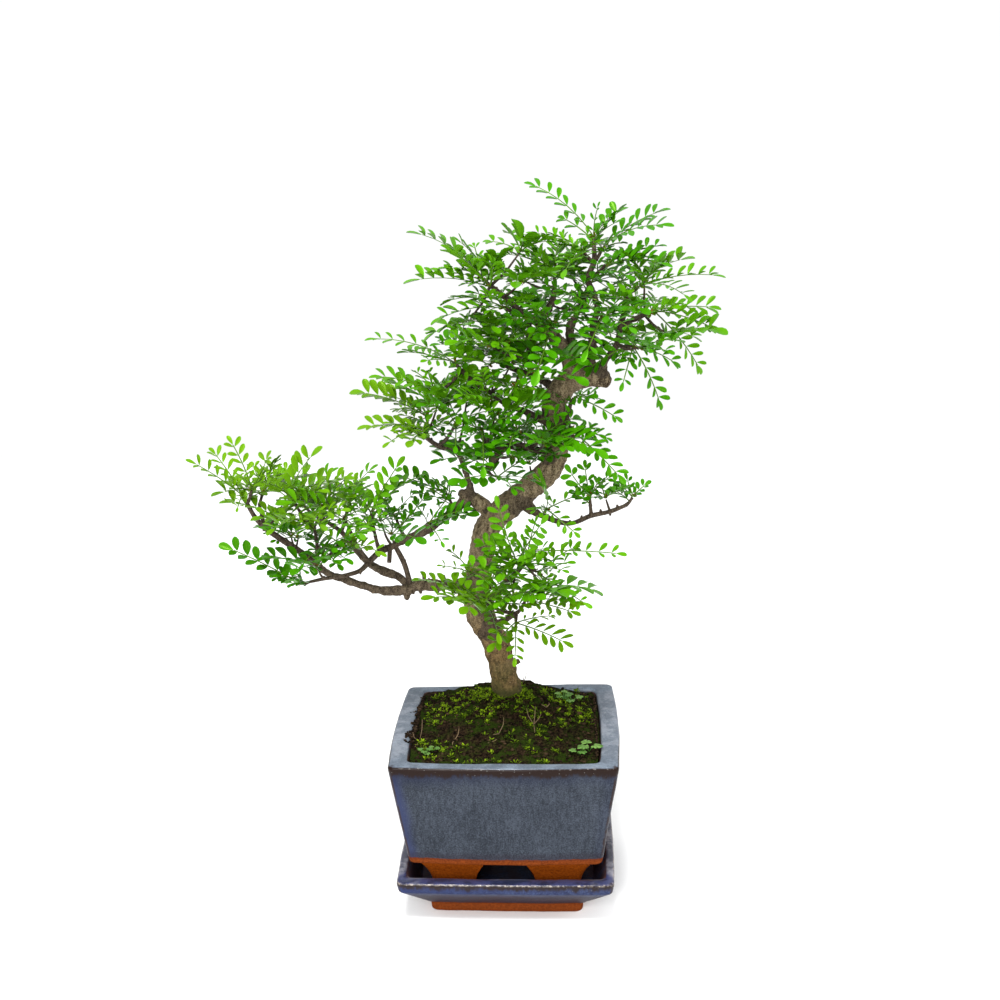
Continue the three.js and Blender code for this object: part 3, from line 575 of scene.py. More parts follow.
def foot_wall(sx, sy, height, inset, corner):
    """Points along a foot at one height, from the gap in the front or back to the gap in the side.
    The outer wall, without an inset, flares out to the pot above it."""
    wall_points = 7
    corner_steps = 6
    rise = (height - foot_bottom) / (pot_underside + 1 * mm - foot_bottom)
    spread = foot_spread * (rise**foot_flare) * (inset == 0)
    half_x = foot_half[0] + spread - inset
    half_y = foot_half[1] + spread - inset
    start = gap_half(front_gap, height) + sx * gap_shift
    end = gap_half(side_gap, height)
    along_front = np.linspace(start, half_x - corner, wall_points)
    along_side = np.linspace(half_y - corner, end, wall_points)
    points = [(sx * x, sy * half_y, height) for x in along_front]
    for step in range(1, corner_steps):
        angle = math.pi / 2 * (1 - step / corner_steps)
        x = half_x - corner + corner * math.cos(angle)
        y = half_y - corner + corner * math.sin(angle)
        points.append((sx * x, sy * y, height))
    points.extend((sx * half_x, sy * y, height) for y in along_side)
    return points


foot_heights = np.linspace(foot_bottom, pot_underside + 0.6 * mm, foot_rows)
foot_places = []
foot_faces = []
for sx, sy in ((-1, -1), (1, -1), (1, 1), (-1, 1)):
    outer_walls = [foot_wall(sx, sy, height, 0, foot_corner) for height in foot_heights]
    inner_walls = [foot_wall(sx, sy, height, foot_thick, foot_corner / 2) for height in foot_heights]
    loops = outer_walls + inner_walls[::-1]
    count = len(loops[0])
    first = len(foot_places)
    for loop in loops:
        foot_places.extend(loop)
    for ring in range(len(loops)):
        on = (ring + 1) % len(loops)
        for point in range(count - 1):
            low, high = ring * count + point, on * count + point
            corners = [low, low + 1, high + 1, high]
            foot_faces.append(tuple(first + corner for corner in corners[:: sx * sy]))
    for point, order in ((0, -1), (count - 1, 1)):
        cap = [first + ring * count + point for ring in range(len(loops))]
        foot_faces.append(tuple(cap[:: order * sx * sy]))
# Painted light: the feet get a brighter copy of the pot's bare clay, standing in for light they lack in the
# shade under the pot.
brightened_foot_finish = Finish("foot_clay_painted_lit")
foot_grain = brightened_foot_finish.grain(1.3 * mm, 5, 0.7)
painted_lit_orange, painted_lit_red_brown, dark_speck = (0.30, 0.062, 0.004), (0.14, 0.026, 0.001), (0.05, 0.014, 0.004)
brightened_foot_colour = bare_clay(brightened_foot_finish, foot_grain, painted_lit_orange, painted_lit_red_brown, 0.2, dark_speck)
brightened_foot_finish.set(Base_Color=brightened_foot_colour, Roughness=0.7 + foot_grain * 0.2, Specular_IOR_Level=0.05)
brightened_foot_finish.relief(foot_grain, 0.3 * mm)
feet = new_piece("pot_feet", foot_places, foot_faces, brightened_foot_finish)
feet_edges = feet.modifiers.new("soft_edges", "BEVEL")
feet_edges.width = 0.9 * mm
feet_edges.segments = 3
feet_edges.limit_method = "ANGLE"
feet_edges.angle_limit = math.radians(40)
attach(feet, "root")
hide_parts("pot")

drain_radius = 7 * mm
drain_places = (-28 * mm, 28 * mm)
drill_past = 6 * mm
drill_sides = 32
drill_points = []
drill_faces = []
for x in drain_places:
    first = len(drill_points)
    for height in (pot_underside - drill_past, pot_floor + drill_past):
        for side in range(drill_sides):
            angle = 2 * math.pi * side / drill_sides
            drill_points.append((x + drain_radius * math.cos(angle), drain_radius * math.sin(angle), height))
    for face in lathe_faces(2, drill_sides):
        drill_faces.append(tuple(first + corner for corner in face))
drain_drill = new_piece("drain_drill", drill_points, drill_faces)
bore = pot.modifiers.new("drain_holes", "BOOLEAN")
bore.operation = "DIFFERENCE"
bore.object = drain_drill


def finished_mesh(piece):
    """A mesh of the piece with its modifiers carried out."""
    bpy.context.view_layer.update()
    return bpy.data.meshes.new_from_object(piece.evaluated_get(bpy.context.evaluated_depsgraph_get()))


bored = finished_mesh(pot)
pot.modifiers.clear()
pot.data = bored
pot.data.set_sharp_from_angle(angle=math.radians(50))
bpy.data.objects.remove(drain_drill)
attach(pot, "root")
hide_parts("pot")

# Drain meshes. Two squares of coarse black plastic mesh, laid over the drain holes before the
# soil goes in.

plastic_finish = Finish("black_mesh_plastic")
plastic_grain = plastic_finish.grain(0.5 * mm, 3)
plastic_finish.set(
    Base_Color=plastic_finish.mix(plastic_grain, (0.012, 0.013, 0.012), (0.03, 0.032, 0.03)),
    Roughness=0.45 + plastic_grain * 0.25,
)
for side in ("left", "right"):
    plastic_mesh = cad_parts["drain_mesh_" + side]
    plastic_mesh.data.materials.clear()
    plastic_mesh.data.materials.append(plastic_finish.material)

# Soil. Dark bark and peat crumbs, mounded round the trunk and pressed against the pot's wall, with
# moss on it.

trunk_y = 22
trunk_foot = Vector((0, trunk_y)) * mm
soil_edge = 115 * mm
soil_mound = 19 * mm
mound_reach = (62 * mm, 72 * mm)
mound_fall = 2.2
soil_wide = pot_half[0] - rim_side - 1.5 * mm
soil_deep = pot_half[1] - rim_front - 1.5 * mm
soil_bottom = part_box("soil")[0].z


def soil_height(x, y):
    """Height of the soil at a place inside the pot, with its lumps."""
    away = math.hypot((x - trunk_foot.x) / mound_reach[0], (y - trunk_foot.y) / mound_reach[1])
    mound = soil_edge + soil_mound * math.exp(-mound_fall * away * away)
    spot = Vector((x, y, 0))
    lumps = 1.6 * noise.noise(spot / (16 * mm)) + 1.8 * noise.noise(spot / (6 * mm) + Vector((4, 0, 0)))
    crumbs = 2.8 * abs(noise.noise(spot / (2.6 * mm))) + 1.0 * noise.noise(spot / (1.1 * mm))
    return mound + (lumps + crumbs - 0.6) * mm


soil_finish = Finish("peat_and_bark")
peat = soil_finish.grain(1.8 * mm, 6, 0.75)
damp = soil_finish.grain(13 * mm, 3, 0.6)
crumbly = soil_finish.step(peat, 0.38, 0.7)
soil_colour = soil_finish.mix(crumbly, (0.0016, 0.0011, 0.0008), (0.042, 0.025, 0.013))
film = soil_finish.step(damp * 0.75 + peat * 0.5, 0.55, 0.74)
soil_colour = soil_finish.mix(film * 0.8, soil_colour, (0.014, 0.030, 0.002))
soil_finish.set(Base_Color=soil_colour, Roughness=0.95, Specular_IOR_Level=0.03)
soil_finish.relief(peat, 1.0 * mm)

soil_foot = (54 * mm, 48 * mm, 6 * mm)
soil_corner = 5 * mm
soil_rings = 88
inward = 0.985
soil_points = [(x, y, soil_bottom) for x, y, _ in squared_ring(*soil_foot, 0, side_bow)]
ring_size = len(soil_points)
for ring in range(soil_rings):
    part = 1 - ring / soil_rings * inward
    for x, y, _ in squared_ring(soil_wide, soil_deep, soil_corner, 0, side_bow):
        soil_points.append((x * part, y * part, soil_height(x * part, y * part)))
soil = new_piece("soil_mound", soil_points, lathe_faces(soil_rings + 1, ring_size), soil_finish)
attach(soil, "root")
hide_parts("soil")

# Crumbs, moss, seedlings and rootlets. Bark crumbs lie loose on the soil and spill onto the rim, most
# of all on its left. Moss grows in small bright tufts, with a few seedlings and dry forked rootlets
# among it.


def draw(first, second):
    """Repeatable draw between 0 and 1 for a pair of whole numbers."""
    wave = math.sin(first * 12.9898 + second * 78.233 + 4.1414) * 43758.5453
    return wave - math.floor(wave)


def draw_turn(first, second):
    """Repeatable angle, anywhere round."""
    return 6.28 * draw(first, second)


def outward(turn, rise):
    """Direction at an angle round the upright, with its rise."""
    return np.array([math.cos(turn), math.sin(turn), rise])


def unit(vector):
    """The vector made one long."""
    return vector / np.linalg.norm(vector)


class Growth:
    """Points, faces and per-point numbers of many small shoots, gathered into one mesh."""

    def __init__(self, *numbers):
        self.points = []
        self.faces = []
        self.numbers = {name: [] for name in numbers}

    def add(self, points, faces, **numbers):
        """Adds one shoot. Each number is given once for all of its points, or one for each."""
        first = len(self.points)
        self.points.extend(points)
        self.faces.extend(tuple(first + corner for corner in face) for face in faces)
        for name, values in self.numbers.items():
            given = numbers.get(name, 0.0)
            values.extend([given] * len(points) if np.isscalar(given) else given)

    def bar(self, route, sides, flat=1.0, up=(0, 0, 1), **numbers):
        """A round bar along rows of [x, y, z, radius], `flat` as thick one way as the other."""
        route = np.array(route, float)
        ahead = np.gradient(route[:, :3], axis=0)
        ahead /= np.linalg.norm(ahead, axis=1)[:, None]
        across = np.cross(up, ahead[0])
        if np.linalg.norm(across) < 0.1:
            across = np.cross((0.9, 0.3, 0.1), ahead[0])
        points = []
        for place, forward in zip(route, ahead):
            across = unit(across - forward * across.dot(forward))
            above = np.cross(forward, across)
            for side in range(sides):
                angle = 2 * math.pi * side / sides
                turn = math.cos(angle) * across + flat * math.sin(angle) * above
                points.append(place[:3] + place[3] * turn)
        self.add(points, lathe_faces(len(route), sides), **numbers)

    def piece(self, name, *finishes):
        """One object of everything added, turned from millimetres to metres."""
        made = new_piece(name, np.array(self.points) * mm, self.faces, *finishes)
        for name, values in self.numbers.items():
            store(made, name, values)
        return made


# Steps along a leaflet or frond, with half of its width at each, from its stalk to its round tip
leaflet_shape = [(0.12, 0.15), (0.33, 0.35), (0.56, 0.48), (0.79, 0.46), (0.94, 0.27)]
frond_shape = [(0.3, 0.4), (0.7, 0.45)]


def add_leaflet(growth, root, ahead, up, length, width, fold, curl, shape=leaflet_shape, **numbers):
    """A closed leaflet: two halves folded up along the rib, its tip curling down."""
    ahead = unit(ahead)
    up = unit(up - ahead * up.dot(ahead))
    across = np.cross(up, ahead)
    thick = 0.04 * length
    points = [root]
    ribs = [1.0]
    unders = [0.5]
    for part, half in shape:
        middle = root + ahead * length * part - up * length * curl * part * part
        edge = width * half
        points.append(middle)
        points.append(middle + across * edge + up * edge * fold)
        points.append(middle - across * edge + up * edge * fold)
        points.append(middle - up * thick)
        ribs.extend((1.0, 0.0, 0.0, 1.0))
        unders.extend((0.0, 0.4, 0.4, 1.0))
    points.append(root + ahead * length - up * length * curl)
    ribs.append(1.0)
    unders.append(0.5)
    tip = len(points) - 1
    faces = [(0, 1, 2), (0, 3, 1), (0, 2, 4), (0, 4, 3)]
    for step in range(len(shape) - 1):
        a = 1 + step * 4
        b = a + 4
        faces.extend(((a, b, b + 1, a + 1), (a, a + 2, b + 2, b)))
        faces.extend(((a + 1, b + 1, b + 3, a + 3), (a + 3, b + 3, b + 2, a + 2)))
    a = tip - 4
    faces.extend(((a, tip, a + 1), (a, a + 2, tip), (a + 1, tip, a + 3), (a + 3, tip, a + 2)))
    growth.add(points, faces, rib=ribs, under=unders, **numbers)


def ground(x, y):
    """Point on the soil at a place given in millimetres."""
    return np.array([x, y, soil_height(x * mm, y * mm) / mm])


crumbs = Growth("shade")
crumb_faces = [
    (0, 1, 2), (0, 2, 3), (0, 3, 4), (0, 4, 5), (0, 5, 1),
    (1, 6, 2), (2, 7, 3), (3, 8, 4), (4, 9, 5), (5, 10, 1),
    (6, 7, 2), (7, 8, 3), (8, 9, 4), (9, 10, 5), (10, 6, 1),
    (11, 7, 6), (11, 8, 7), (11, 9, 8), (11, 10, 9), (11, 6, 10),
]


def add_crumb(place, size, seed):
    """A rough crumb with twenty faces: two ends and two rings of five corners between them."""
    points = []
    for corner in range(12):
        if corner in (0, 11):
            out, turn, rise = 0, 0, 1 if corner == 0 else -1
        else:
            ring = (corner - 1) // 5
            out, rise = 0.89, (0.45, -0.45)[ring]
            turn = 2 * math.pi * ((corner - 1) % 5 + ring * 0.5) / 5
        rough = size * (0.4 + 1.0 * draw(seed, corner))
        wide = 1 + 0.6 * draw(seed, 20)
        corner_ray = np.array([out * math.cos(turn) * wide, out * math.sin(turn), rise * 0.8])
        points.append(place + rough * corner_ray)
    crumbs.add(points, crumb_faces, shade=draw(seed, 21))


def from_trunk(x, y):
    """Distance from the middle of the trunk's foot, in millimetres."""
    return math.hypot(x, y - trunk_y)


bare_ground = 13
soil_crumbs = 2600
left_rim_crumbs = 260
left_rim_seed = 3000
right_rim_crumbs = 150
right_rim_seed = 3400
for number in range(soil_crumbs):
    x = (2 * draw(number, 71) - 1) * (soil_wide / mm - 2)
    y = (2 * draw(number, 72) - 1) * (soil_deep / mm - 2)
    size = 0.35 + 1.0 * draw(number, 73) ** 3
    if from_trunk(x, y) > bare_ground:
        add_crumb(ground(x, y) + [0, 0, size * 0.3], size, number)
for number in range(left_rim_crumbs):
    y = 8 + 78 * (draw(number, 76) - 0.5)
    reach = max(0, 5 + 9 * noise.noise((y / 9, 0.3, 0.7)) - 0.1 * abs(y - 6))
    x = -61.5 - reach * draw(number, 75) ** 1.4
    size = 0.4 + 0.9 * draw(number, 77) ** 2
    add_crumb(np.array([x, y, pot_top / mm + size * 0.5]), size, left_rim_seed + number)
for number in range(right_rim_crumbs):
    y = 96 * (draw(number, 93) - 0.5)
    x = 60.6 + 1.9 * draw(number, 94) * max(0.2, 0.6 + noise.noise((y / 14, 0.6, 0.2)))
    size = 0.35 + 0.5 * draw(number, 95)
    add_crumb(np.array([x, y, pot_top / mm + size * 0.3]), size, right_rim_seed + number)

crumb_finish = Finish("bark_crumbs")
crumb_shade = crumb_finish.attribute("shade")
crumb_grain = crumb_finish.grain(0.6 * mm, 3)
crumb_colour = crumb_finish.mix(crumb_shade * crumb_shade, (0.004, 0.0025, 0.0016), (0.062, 0.039, 0.021))
crumb_colour = crumb_finish.mix(crumb_grain * 0.4, crumb_colour, (0.012, 0.007, 0.004))
crumb_finish.set(Base_Color=crumb_colour, Roughness=0.95, Specular_IOR_Level=0.04)
loose_crumbs = crumbs.piece("bark_crumbs", crumb_finish)
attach(loose_crumbs, "root")

# Middle, reach and number of tufts of each patch of moss, in millimetres
moss_patches = [
    (-40, 30, 22, 46), (-15, 25, 13, 42), (-20, 8, 20, 38), (-48, 8, 12, 18), (34, 30, 12, 42),
    (50, 16, 9, 20), (30, -6, 22, 24), (4, -22, 26, 26), (-40, -42, 16, 22), (48, -2, 12, 12),
    (10, 8, 14, 26), (0, -50, 40, 20), (2, 36, 15, 18), (-55, -30, 8, 8), (44, 44, 14, 10),
    (0, 20, 18, 54),
]
moss = Growth("tone", "rib", "under")
moss_collar = 11
moss_limit = (59, 55)
most_tufts = 70
tuft_places = []
for turn in np.arange(0, 6.2, 0.14):
    tuft_places.append((moss_collar * math.cos(turn), trunk_y + moss_collar * math.sin(turn)))
for patch, (middle_x, middle_y, reach, tufts) in enumerate(moss_patches):
    for tuft in range(tufts):
        seed = patch * most_tufts + tuft
        away = reach * math.sqrt(draw(seed, 81))
        turn = draw_turn(seed, 82)
        x = float(np.clip(middle_x + away * math.cos(turn), -moss_limit[0], moss_limit[0]))
        y = float(np.clip(middle_y + away * math.sin(turn), -moss_limit[1], moss_limit[1]))
        if from_trunk(x, y) > moss_collar + 0.5:
            tuft_places.append((x, y))
fronds = 15
for seed, (x, y) in enumerate(tuft_places):
    tuft_tone = draw(seed, 83)
    tall = 1.2 + 1.3 * draw(seed, 84)
    for frond in range(fronds):
        spin = seed * fronds + frond
        lean = draw_turn(spin, 85)
        toward = outward(lean, 0) * (0.2 + 1.5 * draw(spin, 86)) + [0, 0, 1]
        spread = 1.5 * draw(spin, 89)
        root = ground(x + spread * math.cos(lean), y + spread * math.sin(lean)) + [0, 0, 0.2]
        face = -outward(lean, -1)
        length = tall * (0.6 + 0.6 * draw(spin, 87))
        tone = tuft_tone * 0.6 + 0.5 * draw(spin, 88) - 0.1
        add_leaflet(moss, root, toward, face, length, length * 0.42, 0.3, 0.2, frond_shape, tone=tone)


def toned_finish(name, number, dark, light, rough, shine, power=1):
    """A finish that grows lighter and a little rougher with a number that the mesh keeps."""
    finish = Finish(name)
    tone = finish.attribute(number)
    share = tone if power == 1 else tone**power
    colour = finish.mix(share, dark, light)
    finish.set(Base_Color=colour, Roughness=rough + tone * 0.1, Specular_IOR_Level=shine)
    return finish


pale_moss = (0.290, 0.440, 0.010)
moss_finish = toned_finish("moss_green", "tone", (0.016, 0.046, 0.001), pale_moss, 0.7, 0.08, power=1.4)
moss_tufts = moss.piece("moss_tufts", moss_finish)
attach(moss_tufts, "root")

# Places of the seedlings, with the length of their leaves
seedlings = [(56, -38, 5.2), (50, -42, 4.2), (45, 31, 4.6), (39, 33, 3.6), (-52, -45, 3.2), (-47, -41, 2.6)]
seedling = Growth("tone", "rib", "under", "stalk")
for number, (x, y, size) in enumerate(seedlings):
    foot = ground(x, y)
    for leaf in range(4):
        turn = 1.9 * leaf + number * 1.3
        crown = foot + outward(turn, 0) * size * 0.8 + [0, 0, 2.2 + size * 0.35 + leaf * 0.5]
        middle = (foot + crown) / 2 + [0, 0, 0.8]
        seedling.bar([[*foot, 0.3], [*middle, 0.26], [*crown, 0.22]], sides=5, stalk=1.0)
        for lobe in range(5):
            toward = outward(turn + (lobe - 2) * 0.8, 0.1)
            face = np.array([0.1 * math.cos(turn), -0.25, 1.0])
            length = size * (1.0 - 0.16 * abs(lobe - 2))
            tone = draw(number, leaf)
            add_leaflet(seedling, crown, toward, face, length, length * 0.6, 0.15, 0.1, tone=tone)
pale_leaf = (0.13, 0.25, 0.05)
seedling_finish = toned_finish("seedling_green", "tone", (0.06, 0.16, 0.022), pale_leaf, 0.55, 0.2)
young_plants = seedling.piece("seedlings", seedling_finish)
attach(young_plants, "root")

# Dry rootlets, each a foot and the ends of its forks, in millimetres over the soil
rootlets = [
    ((-58, -24), [(-62, -26, 9), (-56, -20, 15), (-60, -34, 2)]),
    ((-4, -26), [(-1, -19, 8), (-8, -30, 2)]),
    ((19, -14), [(14, -8, 7), (20, -5, 9), (24, -10, 6), (20, -24, 1)]),
    ((-34, -28), [(-31, -24, 7), (-35, -32, 1)]),
    ((10, 38), [(13, 40, 9), (11, 42, 7)]),
    ((-11, -35), [(-5, -35, 1.5)]),
    ((27, 10), [(24, 4, 6), (29, 16, 2)]),
]
rootlet = Growth("shade")
for number, ((x, y), forks) in enumerate(rootlets):
    foot = ground(x, y) + [0, 0, 0.3]
    for fork, (to_x, to_y, rise) in enumerate(forks):
        end = ground(to_x, to_y) + [0, 0, rise]
        wild = np.array([draw(number, fork), draw(fork, number + 9), 0]) - [0.5, 0.5, 0]
        middle = (foot + end) / 2 + wild * 2.5
        rows = [[*foot, 0.34], [*middle, 0.28], [*end, 0.16]]
        rootlet.bar(rows, sides=5, shade=draw(number, 5))
straw = (0.17, 0.115, 0.055)
rootlet_finish = toned_finish("dry_rootlet", "shade", (0.07, 0.042, 0.02), straw, 0.8, 0.5)
dry_rootlets = rootlet.piece("rootlets", rootlet_finish)
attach(dry_rootlets, "root")

# Tree. One piece of wood, grown and pruned: a stout bent trunk, boughs wired out to both sides, thin
# dark twigs, and knobs where old branches were cut off. Its bark is grey-brown with pale specks.

# Each limb as rows of [x, y, z, radius] in millimetres, from its root to its end
limbs = {
    "trunk": [
        [0, 22, 100, 11.5], [0, 22, 124, 11.8], [-1, 22, 136, 10.4], [-3, 20, 150, 9.3],
        [-5, 19, 162, 9.4], [-7, 18, 171, 9.2], [-15, 15, 187, 9.2], [-19, 13, 204, 9.5],
        [-18, 12, 219, 9.1], [-15, 10, 239, 8.1], [-11, 8, 257, 8.4], [-2, 8, 267, 8.9],
        [8, 7, 276, 8.8], [21, 6, 288, 8.6], [32, 4, 299, 8.0], [36, 2, 314, 7.4],
        [37, 0, 331, 7.6], [34, -2, 342, 8.0], [39, -1, 352, 8.0], [50, 1, 360, 8.2],
        [60, 3, 361, 7.9], [66, 5, 360, 7.4],
    ],
    "low_bough": [
        [-18, 12, 217, 4.4], [-38, 6, 217, 3.7], [-57, 0, 219, 3.7], [-67, -3, 217, 3.4],
        [-83, -8, 219, 3.0], [-94, -11, 223, 2.7], [-105, -14, 228, 2.5], [-116, -16, 233, 2.3],
        [-124, -18, 242, 2.3], [-136, -20, 252, 2.1], [-146, -22, 260, 2.0], [-154, -24, 267, 1.8],
        [-160, -25, 275, 1.6], [-164, -26, 284, 1.3],
    ],
    "low_fork": [
        [-63, 0, 218, 3.0], [-73, 6, 224, 2.7], [-84, 10, 227, 2.7], [-95, 16, 232, 2.4],
        [-105, 20, 242, 2.0], [-112, 23, 250, 1.7], [-123, 26, 257, 1.4],
    ],
    "link": [[-63, -1, 220, 2.0], [-67, 2, 234, 1.8], [-73, 2, 247, 1.7]],
    "pad_riser": [[-123, -18, 240, 1.5], [-120, -26, 255, 1.3], [-120, -32, 270, 1.0]],
    "pad_tip": [[-154, -24, 265, 1.6], [-156, -20, 272, 1.3], [-159, -14, 280, 1.0]],
    "mid_bough": [
        [-8, 8, 265, 5.7], [-15, 6, 274, 5.0], [-23, 6, 278, 4.3], [-32, 4, 271, 3.3],
        [-44, 3, 262, 3.2], [-56, 3, 255, 3.0], [-65, 2, 251, 2.7], [-75, 2, 246, 2.3],
        [-82, -8, 245, 2.2], [-88, -16, 241, 2.0], [-93, -22, 237, 1.6], [-102, -26, 235, 1.5],
        [-116, -27, 233, 1.3], [-127, -25, 230, 1.0],
    ],
    "mid_riser": [
        [-22, 6, 277, 3.3], [-22, 5, 285, 2.6], [-25, 2, 300, 2.0], [-29, -2, 311, 1.8],
        [-41, -8, 317, 1.6], [-49, -11, 324, 1.3],
    ],
    "elbow": [[34, 3, 307, 2.9], [18, -6, 315, 2.3], [2, -14, 318, 2.2], [-10, -18, 319, 1.6]],
    "elbow_stub": [[3, -13, 318, 2.4], [-3, -13, 311, 2.8], [-9, -12, 302, 2.6]],
    "side_bough": [
        [35, 1, 326, 2.9], [19, -4, 337, 2.1], [4, -8, 344, 1.8], [-6, -10, 352, 1.6],
        [-16, -12, 359, 1.6], [-24, -13, 367, 1.3],
    ],
    "back_bough": [
        [38, 0, 350, 2.9], [25, 12, 357, 2.3], [12, 22, 360, 2.0], [1, 28, 364, 1.7],
        [-6, 31, 373, 1.3],
    ],
    "crown_left": [
        [47, 0, 358, 5.8], [43, 0, 373, 4.8], [37, 0, 383, 4.5], [29, 0, 393, 3.8],
        [27, 1, 399, 3.2], [33, 4, 406, 2.2], [35, 7, 417, 1.6],
    ],
    "crown_reach": [
        [31, 0, 392, 2.9], [18, -3, 399, 2.2], [11, -5, 405, 1.9], [3, -7, 413, 1.7],
        [-5, -8, 420, 1.4],
    ],
    "crown_drop": [[19, -3, 399, 1.6], [19, -10, 386, 1.4], [18, -16, 376, 1.2]],
    "crown_back": [
        [51, 3, 360, 4.2], [46, 8, 379, 3.5], [45, 13, 390, 2.9], [51, 19, 401, 2.3],
        [54, 24, 410, 1.5],
    ],
    "leader": [
        [56, 3, 361, 3.5], [59, -2, 380, 2.5], [59, -6, 393, 2.2], [62, -9, 405, 1.9],
        [59, -7, 415, 1.9], [56, -3, 423, 1.9], [60, 1, 433, 1.7], [60, 3, 443, 1.4],
    ],
    "crown_right": [
        [63, 4, 362, 3.2], [68, -3, 372, 2.2], [74, -9, 382, 1.9], [77, -11, 397, 1.9],
        [80, -11, 406, 1.7], [81, -11, 415, 1.4],
    ],
    "right_arm": [[77, -11, 393, 1.6], [84, -4, 397, 1.4], [92, 4, 399, 1.2]],
    "right_bough": [
        [7, 5, 277, 4.0], [25, -4, 269, 2.0], [44, -10, 265, 1.6], [58, -13, 271, 1.6],
        [70, -14, 274, 1.5], [80, -14, 278, 1.3],
    ],
    "right_twig": [[38, 0, 319, 2.6], [42, -6, 333, 1.6], [45, -9, 345, 1.3]],
    "low_shoot": [[-15, 12, 200, 3.4], [-3, -2, 216, 2.3], [7, -12, 230, 2.0], [15, -17, 241, 1.5]],
    "base_shoot": [[-12, 14, 183, 3.1], [-1, 2, 193, 2.0], [8, -8, 202, 1.5]],
}
# Root and cut end of each old branch that was pruned to a stub
pruned_stubs = [
    [[-53, 0, 220, 1.6], [-54, -1, 227, 1.1]],
    [[-40, 5, 218, 1.6], [-41, 4, 225, 1.0]],
    [[-76, 2, 247, 1.6], [-77, 1, 235, 1.5]],
    [[-62, -1, 219, 2.6], [-66, -5, 211, 1.9]],
    [[-22, 6, 280, 3.6], [-29, 4, 283, 2.6]],
    [[2, 18, 155, 2.6], [9, 15, 159, 1.6]],
    [[37, 1, 320, 5.0], [47, 2, 318, 3.0]],
    [[62, 3, 361, 5.5], [70, 3, 355, 3.6]],
    [[14, 4, 276, 4.4], [20, -1, 270, 3.0]],
]

